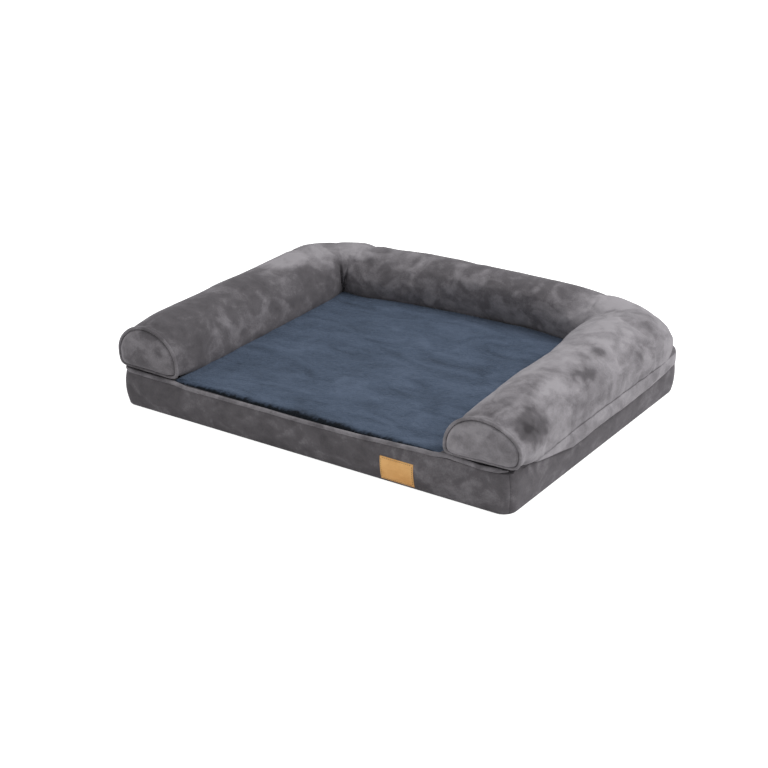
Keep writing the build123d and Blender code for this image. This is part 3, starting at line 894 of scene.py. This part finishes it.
def make_cap(side):
    """Puffed end cap and the piping round it."""
    name = "left" if side < 0 else "right"
    ring_inset, cushion_inset, round_count = 0.0042, 0.0087, 90
    line = cap_outline(side, ring_inset, round_count)
    path = np.stack([line[:, 0], np.full(len(line), ring_y), line[:, 1]], axis=1)
    path[:, 1] += 0.0006 * clouds(path, 0.02, 41 + side)
    verts, faces = tube(path, ring_radius, ring=True)
    piping = new_piece(f"{name}_cap_cord", verts, faces, velvet_cloth)
    swell(piping, side)
    # The right piping is given a lighter tone than the left: painted light from the right
    paint_nap_and_light(piping, 0.58 if side < 0 else 0.74)
    dress(piping, f"{name}_cap_piping")

    edge = cap_outline(side, cushion_inset, round_count)
    middle = edge.mean(axis=0)
    puff = ring_y - cap_front
    rings = []
    for share in np.linspace(1, 0.04, 22):
        flat = middle + (edge - middle) * share
        depth = puff * (1 - share ** 3.4) ** 0.55
        rings.append(np.stack([flat[:, 0], np.full(len(flat), ring_y - depth), flat[:, 1]], axis=1))
    behind = rings[0].copy()
    behind[:, 1] += 0.006
    rings = [behind] + rings
    count = len(edge)
    faces = grid_faces(len(rings), count, close_columns=True)
    faces.append(tuple(range((len(rings) - 1) * count, len(rings) * count)))
    faces.append(tuple(range(count)))
    cap = new_piece(f"{name}_cap_cushion", np.concatenate(rings), faces, velvet_cloth)
    points, normals = points_of(cap), normals_of(cap)
    inside = np.clip((ring_y - points[:, 1]) / puff, 0, 1)
    lumps = waves(points, ((0.0025, 0.05, 47 + side), (0.0012, 0.018, 53 + side)))
    set_points(cap, points + (lumps * inside)[:, None] * normals)
    swell(cap, side)
    dress(cap, f"{name}_end_cap")
    return cap


# Tray
def tray_line(inset, step=0.008):
    """The tray's plan outline, anticlockwise from the front middle: points, outward directions and run."""
    front_row, back_row = front_y + front_corner, back_y - back_corner
    corners = ((1, front_row, front_corner), (1, back_row, back_corner), (-1, back_row, back_corner),
               (-1, front_row, front_corner))
    line = [(0.0, front_y + inset)]
    for turn, (side, y, radius) in enumerate(corners):
        x = side * (half_width - radius)
        for angle in np.linspace((turn - 1) * quarter, turn * quarter, 24):
            line.append((x + (radius - inset) * math.cos(angle), y + (radius - inset) * math.sin(angle)))
    line.append((0.0, front_y + inset))
    line = np.array(line)
    count = int(np.linalg.norm(np.diff(line, axis=0), axis=1).sum() / step)
    return resample(line, count + 1)[:-1]


def outward(line):
    """Unit directions out of a closed anticlockwise line."""
    ahead = np.roll(line, -1, axis=0) - np.roll(line, 1, axis=0)
    out = np.stack([ahead[:, 1], -ahead[:, 0]], axis=1)
    return out / np.linalg.norm(out, axis=1)[:, None]


def band_name(x, y):
    """Which boxing band a place on the outline belongs to."""
    if y < front_y + front_corner:
        angle = math.atan2(front_y + front_corner - y, abs(x) - (half_width - front_corner))
        if abs(x) < half_width - front_corner or angle > front_seam_angle:
            return "front"
    if y > back_y - back_corner:
        angle = math.atan2(y - (back_y - back_corner), abs(x) - (half_width - back_corner))
        if abs(x) < half_width - back_corner or angle > mitre:
            return "back"
    return "left" if x < 0 else "right"


def bulge_at(z):
    """Inset of the boxing from its widest line at a height."""
    middle = deck / 2
    return boxing_bulge * ((z - middle) / middle) ** 2


def band_top(name, y):
    """Height of a band's upper edge, which drops behind the start of the zip."""
    if name == "front":
        return front_band_top + 0.004
    if name == "back":
        return hem_top
    drop_run = 0.012
    start = front_y + (left_zip_start if name == "left" else right_zip_start)
    share = np.clip((y - start + drop_run) / drop_run, 0, 1)
    return foam_top + (hem_top - foam_top) * share


def stretch_of(names, name):
    """Indices of one named stretch of a closed line, with the first point of the next stretch."""
    total = len(names)
    picked = [next(i for i in range(total) if names[i] == name and names[i - 1] != name)]
    while names[picked[-1]] == name:
        picked.append((picked[-1] + 1) % total)
    return picked


# How far the front edge is drawn up, from left to right
cord_rise = ((-0.53, 0.004), (-0.46, 0.002), (-0.37, 0.002), (-0.335, -0.002), (-0.2, -0.001), (0.05, 0.0),
             (0.15, 0.002), (0.25, 0.007), (0.317, 0.011), (0.342, 0.011), (0.384, 0.016), (0.425, 0.014),
             (0.465, 0.011), (0.513, 0.015), (0.53, 0.015))


def rise_at(x):
    """How far the front edge is drawn up at x."""
    xs, zs = zip(*cord_rise)
    return float(np.interp(x, xs, zs))


def make_bands():
    """Four strips of boxing with rolled seams at the corners."""
    pitch, rows, thickness = 0.004, 15, 0.0022
    roll_depth, roll_reach = 0.0022, 0.004
    rim_depth, rim_reach = 0.0035, 0.004
    rise_fade = 0.07
    line = tray_line(0.0, pitch)
    out = outward(line)
    names = [band_name(x, y) for x, y in line]
    bands = {}
    for name in ("front", "right", "back", "left"):
        picked = stretch_of(names, name)
        count = len(picked)
        outer, inner = [], []
        for k, i in enumerate(picked):
            x, y = line[i]
            from_end = min(k, count - 1 - k) * pitch
            rolled = roll_depth * math.exp(-((from_end / roll_reach) ** 2))
            top = band_top(name, y) + (rise_at(x) if name == "front" else 0.0)
            if name in ("left", "right") and y < front_y + left_zip_start:
                top += rise_at(x) * np.clip(1 - (y - front_y - front_corner) / rise_fade, 0, 1)
            for row in range(rows):
                z = bottom_thickness + (top - bottom_thickness) * row / (rows - 1)
                inset = bulge_at(min(z, deck)) + rolled
                if name != "front" and top < foam_top - 0.005:
                    inset += max(0.0, (z - top + rim_reach) / rim_reach) ** 2 * rim_depth
                outer.append((x - out[i][0] * inset, y - out[i][1] * inset, z))
                inset += thickness
                inner.append((x - out[i][0] * inset, y - out[i][1] * inset, z))
        band = shell(f"{name}_boxing", outer, inner, count, rows, velvet_cloth)
        size = count * rows
        points = points_of(band)
        normals = np.zeros_like(points)
        for k, i in enumerate(picked):
            for offset in (0, size):
                normals[offset + k * rows:offset + (k + 1) * rows, :2] = out[i]
        room = np.sin(math.pi * np.clip(points[:, 2] / deck, 0.02, 0.98))
        wave = waves(points, ((0.0022, 0.13, 61), (0.0009, 0.04, 67)))
        set_points(band, points + (wave * room)[:, None] * normals)
        dress(band, f"{name}_band")
        bands[name] = band
    return bands


def make_front_cord():
    """Piping along the front edge, drawn up under the arms."""
    inset = cord_y - front_y
    radius = front_corner - inset
    cx, cy = half_width - front_corner, front_y + front_corner
    turn = quarter - front_seam_angle
    angles = np.linspace(-quarter, turn - quarter, 10)
    arc = [(cx + radius * math.cos(a), cy + radius * math.sin(a)) for a in angles]
    half = [(x, cord_y) for x in np.linspace(0, cx, 60)] + arc[1:]
    line = np.array([(-x, y) for x, y in half[:0:-1]] + half)
    line = resample(line, 220)
    path = np.array([(x, y, cord_z + rise_at(x)) for x, y in line])
    path[:, 2] += 0.0007 * clouds(path, 0.06, 71)
    path[:, 1] += 0.0006 * clouds(path, 0.08, 73)
    from_end = np.minimum(np.arange(len(path)), np.arange(len(path))[::-1])
    verts, faces = tube(path, cord_radius * np.clip(from_end / 4, 0.4, 1))
    piping = new_piece("front_edge_cord", verts, faces, velvet_cloth)
    paint_nap_and_light(piping, 0.66)
    dress(piping, "front_piping")


def make_allowance():
    """Turned-in top of the front band, behind the piping and under the arms."""
    margin, step_in, lift, tuck = 0.006, 0.004, 0.0008, 0.004
    rise_share, rise_reach = 0.6, 0.03
    xs = np.linspace(-half_width + margin, half_width - margin, 120)
    reaches = (0.0, 0.004, 0.012, 0.026, 0.040, 0.075, 0.110)
    verts = []
    for x in xs:
        beyond = max(0.0, abs(x) - half_width + front_corner)
        edge = front_y + step_in + front_corner - math.sqrt(max(0.0, front_corner ** 2 - beyond ** 2))
        under_arm = np.clip((abs(x) - inner_x + 0.005) / 0.01, 0.3, 1)
        for reach in reaches:
            y = edge + min(reach, reaches[-1] * under_arm)
            rise = max(0.0, rise_at(x)) * rise_share * (reach < rise_reach)
            verts.append((x, y, foam_top + lift + rise - tuck * (reach == 0)))
    cloth = new_piece("front_seam_allowance", verts, grid_faces(len(xs), len(reaches)), velvet_cloth)
    # Dark tone: painted shade behind the piping and under the arms
    paint_nap_and_light(cloth, 0.2)
    dress(cloth)


def make_facing():
    """Turned-in cloth behind the zip, so that no foam shows between its rows or before its ends."""
    inset, ahead = 0.0115, 0.030
    line = tray_line(inset, 0.006)
    names = ["zip" if y > front_y + left_zip_start - ahead else "none" for _, y in line]
    picked = stretch_of(names, "zip")
    heights = np.linspace(hem_top - 0.012, foam_top - 0.001, 4)
    verts = [(*line[i], z) for i in picked for z in heights]
    cloth = new_piece("zip_facing", verts, grid_faces(len(picked), len(heights)), velvet_cloth)
    # Dark tone: painted shade in the recess behind the zip
    paint_nap_and_light(cloth, 0.2)
    dress(cloth)


def make_panel():
    """Plush sleeping panel: crowned, its edges rolled down to the lining."""
    step, tuck, roll = 0.006, 0.035, 0.012
    front_drop, side_drop, crown_drop, crown_reach = 0.006, 0.002, 0.0020, 0.15
    xs = np.linspace(panel_low.x, panel_high.x, int((panel_high.x - panel_low.x) / step))
    front_edge = cord_y + 0.5 * cord_radius
    back_edge = panel_high.y + tuck
    ys = np.linspace(front_edge, back_edge, int((back_edge - front_edge) / step))
    top_z = panel_high.z
    top, bottom = [], []
    for y in ys:
        for x in xs:
            side = min(panel_high.x - abs(x), panel_high.y + float(np.interp(x, *zip(*back_bow))) - y)
            front = y - front_edge
            edge = min(side, front)
            drop = min(1.0, 1 - min(1.0, edge / roll)) ** 2 * (front_drop if front < side else side_drop)
            crown = crown_drop * min(1.0, 1 - min(1.0, side / crown_reach)) ** 2
            top.append((x, y, top_z - drop - crown))
            bottom.append((x, y, foam_top))
    panel = shell("plush_panel", top, bottom, len(ys), len(xs), plush_cloth)
    points = points_of(panel)
    upper = points[:, 2] > foam_top + 0.001
    points[:, 2] += waves(points, ((0.0016, 0.12, 79), (0.0009, 0.035, 83), (0.0005, 0.012, 89))) * upper
    set_points(panel, points)
    # Painted shade: a dark ragged band along the front edge, the pile's front face in shadow
    front_edge_shade = [
        ((0.20, front_edge, top_z), (0.35, 0.0085, 9.0), -0.60),
        ((-0.30, front_edge, top_z), (0.25, 0.004, 9.0), -0.60),
    ]
    paint_nap_and_light(panel, 0.0, front_edge_shade, ragged=0.005)
    dress(panel, "sleep_panel")


def make_tufts():
    """Tufts of pile that lean over the front edge of the panel."""
    pitch, rows, reach, sides = 0.0028, 3, 0.0048, 5
    margin, first_row, row_pitch, radius, shake = 0.006, 0.0015, 0.0022, 0.0013, 0.001
    roll, roll_depth, sink = 0.012, 0.008, 0.0012
    verts, faces = [], []
    for row in range(rows):
        for x in np.arange(panel_low.x + margin, panel_high.x - margin, pitch):
            place = Vector((x * 90, row * 3.7, 0))
            jitter = noise.noise_vector(place)
            size = reach * (0.75 + 0.5 * noise.noise(place * 1.7))
            y = panel_low.y + first_row + row_pitch * row + shake * jitter.y
            base = np.array((x + shake * jitter.x, y, 0.0))
            drop = max(0.0, 1 - (base[1] - panel_low.y) / roll) ** 2 * roll_depth
            base[2] = panel_high.z - drop - sink
            tip = base + (0.45 * size * jitter.z, -0.55 * size, 0.75 * size)
            start = len(verts)
            for step in range(sides):
                angle = 2 * math.pi * step / sides
                verts.append(base + (radius * math.cos(angle), radius * math.sin(angle), 0))
            verts.append(tip)
            for step in range(sides):
                faces.append((start + step, start + (step + 1) % sides, start + sides))
            faces.append(tuple(range(start, start + sides)))
    tufts = new_piece("panel_front_tufts", verts, faces, plush_cloth)
    # Dark tone: painted shade of pile in shadow
    paint_nap_and_light(tufts, -0.38)
    dress(tufts)


def make_foam():
    """Foam slab with rounded edges."""
    rows = []
    low, high = bottom_thickness + 0.0002, foam_top - 0.0002
    rounding = ((0, foam_edge), (foam_edge / 3, foam_edge / 3), (foam_edge, 0))
    levels = [(low + rise, pull) for rise, pull in rounding] + [(deck / 2, 0)]
    levels += [(high - rise, pull) for rise, pull in rounding[::-1]]
    for z, pull in levels:
        rows.append((tray_line(foam_inset + pull, 0.02), z))
    count = min(len(line) for line, _ in rows)
    loops = []
    for line, z in rows:
        closed = resample(np.concatenate([line, line[:1]]), count + 1)[:-1]
        loops.append(np.column_stack([closed, np.full(count, z)]))
    foam = closed_form("foam_core", loops, foam_stuff)
    dress(foam, "foam_slab")


def make_bottom():
    """Woven bottom of the cover with rows of grip dots."""
    lift = 0.0006
    line = tray_line(boxing_bulge, 0.006)
    loops = []
    for z, pull in ((lift, 0.0006), (lift + 0.0004, 0), (bottom_thickness - 0.0001, 0)):
        flat = line * (1 - pull)
        loops.append(np.column_stack([flat, np.full(len(line), z)]))
    cloth = closed_form("bottom_cloth_panel", loops, bottom_cloth)
    dress(cloth, "bottom_panel")
    pitch, radius, sides, margin = 0.025, 0.003, 8, 0.03
    verts, faces = [], []
    half_x, low_y, high_y = half_width - margin, front_y + margin, back_y - margin
    for row, y in enumerate(np.arange(low_y, high_y, pitch)):
        for x in np.arange(-half_x + (row % 2) * pitch / 2, half_x, pitch):
            start = len(verts)
            for share, z in ((1.0, lift + 0.0002), (0.8, 0.0002), (0.4, 0.0)):
                for k in range(sides):
                    angle = 2 * math.pi * k / sides
                    reach = radius * share
                    verts.append((x + reach * math.cos(angle), y + reach * math.sin(angle), z))
            faces += grid_faces(3, sides, close_columns=True, start=start)
            faces.append(tuple(range(start, start + sides)))
            faces.append(tuple(range(start + 2 * sides, start + 3 * sides)))
    dots = new_piece("grip_dots", verts, faces, grip_stuff)
    dress(dots)


# Flaps
# How much higher the flap's hem lies at each distance from the front
flap_edge = ((0.0, 0.0), (0.10, 0.004), (0.25, -0.002), (0.37, 0.001), (0.50, -0.001), (0.61, 0.0),
             (0.73, 0.008))


def flap_line(full, wobble, corner, rows):
    """Insets and heights of a flap from its root under the bolster over a round shoulder to its hem."""
    hem = deck - 0.002 + (flap_low + 0.003 - deck) * full ** 0.8 + wobble * full
    lift = (0.0065 + 0.003 * corner) * min(1.0, 2.5 * full)
    flare = (-0.0035 + 0.010 * full ** 0.6) * (1 - 0.9 * corner)
    root = deck + 0.0008
    tuck = 0.005 * corner
    line = [
        (flap_reach, root + 0.014 * corner),
        (0.014 + tuck, root + 0.3 * lift + 0.010 * corner),
        (0.007 + tuck, root + 0.75 * lift + 0.003 * corner),
        (0.002 + tuck, root + lift),
        (-0.002 * full + tuck, root + 0.9 * lift),
        (-0.6 * flare, root + 0.45 * lift),
        (-0.9 * flare, root - 0.004 * full),
        (-flare, (root + hem) / 2 - 0.003 * full),
        (-flare, hem),
    ]
    return resample(np.array(line), rows)


def make_flap(name):
    """Loose lip of velvet that hangs over the zip, thinning out to the front."""
    rows, thickness = 22, 0.0018
    line = tray_line(0.0, 0.006)
    out = outward(line)
    names = [band_name(x, y) if y > flap_front else "none" for x, y in line]
    picked = stretch_of(names, name)
    outer, inner = [], []
    for i in picked:
        (x, y), (a, b) = line[i], out[i]
        from_front = y - front_y
        full = float(np.clip((from_front - 0.10) / (flap_full - 0.10), 0, 1))
        wobble = float(np.interp(from_front, *zip(*flap_edge))) * (x / half_width) ** 2
        beside, behind = abs(x) - half_width + outer_radius, y - back_y + outer_radius
        turn = math.atan2(max(0.0, behind), max(1e-6, beside))
        profile = flap_line(full, wobble, math.sin(2 * turn) ** 2, rows)
        slope = np.gradient(profile, axis=0)
        lean = np.stack([slope[:, 1], -slope[:, 0]], axis=1)
        lean /= np.linalg.norm(slope, axis=1)[:, None]
        for (inset, z), (u, v) in zip(profile, lean):
            outer.append((x - a * inset, y - b * inset, z))
            under = inset - u * thickness
            inner.append((x - a * under, y - b * under, z - v * thickness))
    flap = shell(f"{name}_flap_cloth", outer, inner, len(picked), rows, velvet_cloth)
    points = points_of(flap)
    directions = np.array([(*out[i], 0) for i in picked]).repeat(rows, axis=0)
    directions = np.concatenate([directions, directions])
    hang = np.clip((deck + 0.006 - points[:, 2]) / 0.032, 0, 1)
    wave = 0.0022 * clouds(points * (1, 1, 0.2), 0.07, 97) + 0.0010 * clouds(points * (1, 1, 0.3), 0.025, 101)
    set_points(flap, points + (wave * hang)[:, None] * directions)
    dress(flap, f"{name}_flap")
    return flap


# Zip
def zip_line(start_left, start_right):
    """Plan line of the zip from its left start round the back to its right start."""
    line = tray_line(tape_inset, 0.0015)
    picked = []
    for x, y in line:
        start = front_y + (start_left if x < 0 else start_right)
        if y >= start:
            picked.append((x, y))
    return np.array(picked)[::-1]


def make_coil(name):
    """One row of nylon coil turns along the zip."""
    stop_room = 0.003
    box_low, box_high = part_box(name)
    low, high = box_low.z, box_high.z
    line = zip_line(box_low.y - front_y, right_zip_start + stop_room)
    ahead = np.gradient(line, axis=0)
    out = np.stack([-ahead[:, 1], ahead[:, 0]], axis=1)
    out /= np.linalg.norm(out, axis=1)[:, None]
    depth, width, stand, chamfer = 0.0020, 0.0010, 0.0004, 0.0003
    verts, faces = [], []
    for (x, y), (a, b) in zip(line, out):
        start = len(verts)
        t = (-b, a)
        for z in (low, low + chamfer, high - chamfer, high):
            reach = depth if low < z < high else depth * 0.6
            for along, outside in ((-0.5, 0), (-0.3, 1), (0.3, 1), (0.5, 0)):
                px = x + a * (stand + outside * reach) + t[0] * along * width
                py = y + b * (stand + outside * reach) + t[1] * along * width
                verts.append((px, py, z))
        faces += grid_faces(4, 4, close_columns=True, start=start)
        faces.append((start, start + 1, start + 2, start + 3))
        faces.append((start + 12, start + 13, start + 14, start + 15))
    coil = new_piece(f"{name}_turns", verts, faces, coil_stuff)
    dress(coil, name)


# Label
def make_label():
    """Bare label: a thin patch with a rounded edge that follows the boxing, and its stitches."""
    columns, rows, edge = 34, 24, 0.0012
    width, height = label_high.x - label_low.x, label_high.z - label_low.z
    outer, inner = [], []
    for r in range(rows):
        z = label_low.z + height * r / (rows - 1)
        for c in range(columns):
            x = label_low.x + width * c / (columns - 1)
            near = min(x - label_low.x, label_high.x - x, z - label_low.z, label_high.z - z)
            surface = front_y + bulge_at(z)
            proud = 0.0015 if near > edge else 0.0009
            outer.append((x, surface - proud, z))
            inner.append((x, surface + 0.0004, z))
    patch = shell("label_hide_patch", outer, inner, rows, columns, hide_stuff)
    dress(patch, "label_patch")

    inset, pitch, length, radius = 0.003, 0.005, 0.0034, 0.00042
    verts, faces = [], []

    def stitch(x, z, dx, dz):
        path = []
        for share in (-0.5, -0.35, 0, 0.35, 0.5):
            px, pz = x + dx * share * length, z + dz * share * length
            dip = 0.0006 if abs(share) == 0.5 else 0.0
            path.append((px, front_y + bulge_at(pz) - 0.00165 + dip, pz))
        new_verts, new_faces = tube(path, radius, sides=6)
        start = len(verts)
        verts.extend(new_verts)
        faces.extend([tuple(start + v for v in f) for f in new_faces])

    for x in np.arange(label_low.x + inset + pitch, label_high.x - inset - pitch / 2, pitch):
        for z in (label_low.z + inset, label_high.z - inset):
            stitch(x, z, 1, 0)
    for z in np.arange(label_low.z + inset + pitch, label_high.z - inset - pitch / 2, pitch):
        for x in (label_low.x + inset, label_high.x - inset):
            stitch(x, z, 0, 1)
    threads = new_piece("label_thread_stitches", verts, faces, thread_stuff)
    dress(threads, "label_stitches")


# Build the soft pieces
arms = {side: make_arm(side) for side in (-1, 1)}
back = make_back()
caps = {side: make_cap(side) for side in (-1, 1)}
fill_inset, fill_step, fill_steps = 0.010, 0.02, 5
for name, side in (("right", 1), ("left", -1)):
    make_fill(name, arm_rows(fill_inset, fill_step, fill_steps), side, (side,))
make_fill("back", back_rows(fill_inset, fill_step, fill_steps), 1, (-1, 1))
bands = make_bands()
make_front_cord()
make_allowance()
make_facing()
make_panel()
make_tufts()
make_foam()
make_bottom()
flaps = {name: make_flap(name) for name in ("left", "right", "back")}
make_coil("upper_zip_coil")
make_coil("lower_zip_coil")
make_label()


# Nap and painted light: base tone of each piece, and patches with their place, reach and change. Partly the
# crushed nap of the velvet, partly painted light on the right-hand pieces and painted shade in creases, along
# feet and under edges
def placed(rows):
    """Patches from rows of side, along, around, reach and change."""
    return [(spot(*row[:3]), np.array(row[3]), row[4]) for row in rows]


# The left corner's patches lie across the mitre, on both sleeves
left_corner = [
    (-1, 0.86, 0.50, (0.05, 0.10, 0.04), 0.60),
    (-1, 1.04, 0.40, (0.05, 0.05, 0.03), 0.22),
    (-1, 1.61, 0.43, (0.06, 0.06, 0.035), 0.30),
    (-1, 1.94, 0.43, (0.05, 0.05, 0.025), 0.20),
    (-1, 1.50, 0.30, (0.025, 0.025, 0.03), -0.16),
]
paint_nap_and_light(arms[-1], 0.49, placed(left_corner + [
    (-1, 0.62, 0.46, (0.05, 0.07, 0.035), -0.14),
    (-1, 0.20, 0.45, (0.05, 0.08, 0.05), -0.05),
    (-1, 0.84, 0.35, (0.03, 0.03, 0.02), -0.18),
    (-1, 0.30, 0.22, (0.03, 0.05, 0.030), 0.16),
    (-1, 0.50, 0.24, (0.03, 0.05, 0.025), 0.13),
    (-1, 0.05, 0.85, (0.04, 0.10, 0.05), 0.15),
]), [
    # Painted shade: a dark line down the mitre crease and a darker band along the inner foot where the arm
    # meets the panel
    (-1, (1.41, 0.24), (1.34, -0.02), 0.0030, -0.9),
    (-1, (-0.05, 0.0), (1.3, 0.0), 0.012, -0.35),
], 0.010)
# Base tone much lighter than the left arm's: painted light falling from the right, on top of the crushed nap
paint_nap_and_light(arms[1], 0.82, placed([
    (1, 0.06, 0.55, (0.06, 0.05, 0.05), -0.22),
    (1, 0.26, 0.52, (0.04, 0.05, 0.04), -0.18),
    (1, 0.09, 0.75, (0.026, 0.034, 0.030), -0.85),
    (1, 0.16, 0.78, (0.020, 0.045, 0.024), -0.55),
    (1, 0.17, 0.68, (0.012, 0.020, 0.014), -0.45),
    (1, 0.50, 0.66, (0.018, 0.024, 0.018), -0.50),
    (1, 0.56, 0.70, (0.012, 0.030, 0.014), -0.40),
    (1, 0.60, 0.62, (0.02, 0.02, 0.02), -0.25),
    (1, 0.69, 0.61, (0.018, 0.02, 0.02), -0.45),
    (1, 1.07, 0.65, (0.025, 0.02, 0.02), -0.22),
    (1, 0.90, 0.78, (0.02, 0.04, 0.02), -0.22),
    (1, 0.50, 0.86, (0.04, 0.22, 0.035), -0.10),
    (1, 0.34, 0.62, (0.012, 0.035, 0.012), 0.35),
    (1, 0.74, 0.50, (0.05, 0.10, 0.04), 0.10),
    (1, 0.95, 0.55, (0.06, 0.06, 0.04), 0.10),
]), [
    # Painted shade: a dark line along the outer foot, in the gap between the sleeve and the flap
    (1, (-0.1, 0.99), (2.05, 0.99), 0.0050, -0.90),
    (1, (0.02, 0.55), (0.16, 0.60), 0.0050, 0.20),
    (1, (0.05, 0.62), (0.24, 0.56), 0.0050, 0.20),
], 0.010)
paint_nap_and_light(back, 0.59, placed(left_corner + [
    (1, 1.62, 0.85, (0.07, 0.07, 0.05), 0.25),
    (1, 2.40, 0.50, (0.10, 0.06, 0.05), -0.04),
    (1, 2.14, 0.25, (0.08, 0.05, 0.05), 0.16),
    (1, 1.92, 0.46, (0.05, 0.05, 0.05), 0.20),
    (1, 1.66, 0.50, (0.07, 0.07, 0.07), 0.42),
    (-1, 2.20, 0.32, (0.06, 0.04, 0.03), -0.12),
    (-1, 2.55, 0.45, (0.06, 0.04, 0.04), 0.10),
]), [
    # Painted shade: dark lines down both mitre creases and darker bands along the inner foot where the
    # bolster meets the panel
    (-1, (1.74, 0.20), (1.51, -0.02), 0.0030, -0.9),
    (-1, (1.6, 0.0), (3.0, 0.0), 0.010, -0.30),
    (1, (1.6, 0.0), (3.0, 0.0), 0.010, -0.30),
    (1, (1.52, 0.42), (1.50, -0.02), 0.0045, -0.60),
], 0.010)
# The right cap is given a lighter base than the left: painted light from the right
for side, base, low in ((-1, 0.58, 0.20), (1, 0.80, 0.10)):
    x = side * (outer_x if side < 0 else inner_x)
    paint_nap_and_light(caps[side], base, [((x, arm_front, deck + belly), (0.03, 0.05, 0.05), low)], ragged=0.010)
# The boxing is made lighter towards the front right corner: painted light from the right
for name, base in (("front", 0.44), ("right", 0.46), ("left", 0.45), ("back", 0.45)):
    paint_nap_and_light(bands[name], base, [((0.45, front_y, 0.04), (0.22, 0.1, 0.2), 0.10)])
# Painted shade: a dark band along the flaps' top, under the sleeves' edge. Painted light: the right flap's
# lighter base and a lighter patch on the back flap at the right back corner
for name, base in (("left", 0.5), ("right", 0.84), ("back", 0.5)):
    corner = (half_width, back_y, deck)
    corner_light = 0.34 if name == "back" else 0.0
    paint_nap_and_light(flaps[name], base, [((0.0, 0.0, deck + 0.0085), (9.0, 9.0, 0.0016), -0.35),
                              (corner, (0.14, 0.14, 0.2), corner_light)])

# CAD pieces that keep their own shape
for node, material in (
    ("bolster_lining", lining_cloth),
    ("upper_zip_tape", tape_cloth),
    ("lower_zip_tape", tape_cloth),
    ("zip_end_stops", metal_stuff),
    ("zip_slider", metal_stuff),
    ("zip_pull_tab", metal_stuff),
):
    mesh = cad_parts[node].data
    mesh.materials.clear()
    mesh.materials.append(material)

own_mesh(flaps["left"])


# Floor, light and camera
def backdrop_mix(nodes, links):
    """A mix whose second shader is what the camera, mirrors and glass see."""
    rays = nodes.new("ShaderNodeLightPath")
    seen = math_node(nodes, links, "MAXIMUM", rays.outputs["Is Camera Ray"], rays.outputs["Is Glossy Ray"])
    seen = math_node(nodes, links, "MAXIMUM", seen, rays.outputs["Is Transmission Ray"])
    mix = nodes.new("ShaderNodeMixShader")
    links.new(seen, mix.inputs["Fac"])
    return mix


floor_size = 8.0
floor_mesh = bpy.data.meshes.new("floor")
floor_corners = [(x * floor_size, y * floor_size, 0) for x, y in ((-1, -1), (1, -1), (1, 1), (-1, 1))]
floor_mesh.from_pydata(floor_corners, [], [(0, 1, 2, 3)])
floor = add_object("floor", floor_mesh)
floor_stuff, nodes, links, shader = new_material("floor")
set_inputs(shader, {"Base Color": (0.9, 0.9, 0.9, 1), "Roughness": 1.0, "Specular IOR Level": 0.0})
white_light = (1, 1, 1, 1)
glow = nodes.new("ShaderNodeEmission")
set_inputs(glow, {"Color": white_light, "Strength": 0.75})
both = nodes.new("ShaderNodeAddShader")
links.new(shader.outputs["BSDF"], both.inputs[0])
links.new(glow.outputs["Emission"], both.inputs[1])
pick = backdrop_mix(nodes, links)
links.new(shader.outputs["BSDF"], pick.inputs[1])
links.new(both.outputs["Shader"], pick.inputs[2])
links.new(pick.outputs["Shader"], nodes["Material Output"].inputs["Surface"])
floor_mesh.materials.append(floor_stuff)

world = bpy.data.worlds.new("studio")
bpy.context.scene.world = world
world.use_nodes = True
nodes, links = world.node_tree.nodes, world.node_tree.links
soft = nodes["Background"]
set_inputs(soft, {"Color": white_light, "Strength": 0.55})
white = nodes.new("ShaderNodeBackground")
set_inputs(white, {"Color": white_light, "Strength": 1.0})
pick = backdrop_mix(nodes, links)
links.new(soft.outputs["Background"], pick.inputs[1])
links.new(white.outputs["Background"], pick.inputs[2])
links.new(pick.outputs["Shader"], nodes["World Output"].inputs["Surface"])


def lamp(name, place, target, size, power):
    """A soft square lamp that faces a point."""
    data = bpy.data.lights.new(name, "AREA")
    data.size = size
    data.energy = power
    obj = add_object(name, data)
    obj.location = place
    obj.rotation_euler = (Vector(target) - Vector(place)).to_track_quat("-Z", "Y").to_euler()


lamp("key", (2.2, 0.9, 2.6), (0, 0, 0.1), 1.6, 60)
lamp("fill", (-2.4, -1.6, 2.0), (0, 0, 0.1), 2.2, 14)

camera_place = Vector((2.1923, -3.2036, 1.7659))
camera_yaw, camera_pitch, camera_roll = -0.6129, 0.4220, -0.0201
camera_lens, sensor = 83.289, 36.0
forward = Vector((
    math.sin(camera_yaw) * math.cos(camera_pitch),
    math.cos(camera_yaw) * math.cos(camera_pitch),
    -math.sin(camera_pitch),
))
level = Vector((math.cos(camera_yaw), -math.sin(camera_yaw), 0))
upright = level.cross(forward)
across = math.cos(camera_roll) * level + math.sin(camera_roll) * upright
up = -math.sin(camera_roll) * level + math.cos(camera_roll) * upright
camera_data = bpy.data.cameras.new("camera")
camera_data.lens = camera_lens
camera_data.sensor_width = sensor
camera_data.clip_end = 50
camera = add_object("camera", camera_data)
camera.matrix_world = Matrix.Translation(camera_place) @ Matrix((across, up, -forward)).transposed().to_4x4()
bpy.context.scene.camera = camera
bpy.context.scene.view_settings.view_transform = "Standard"
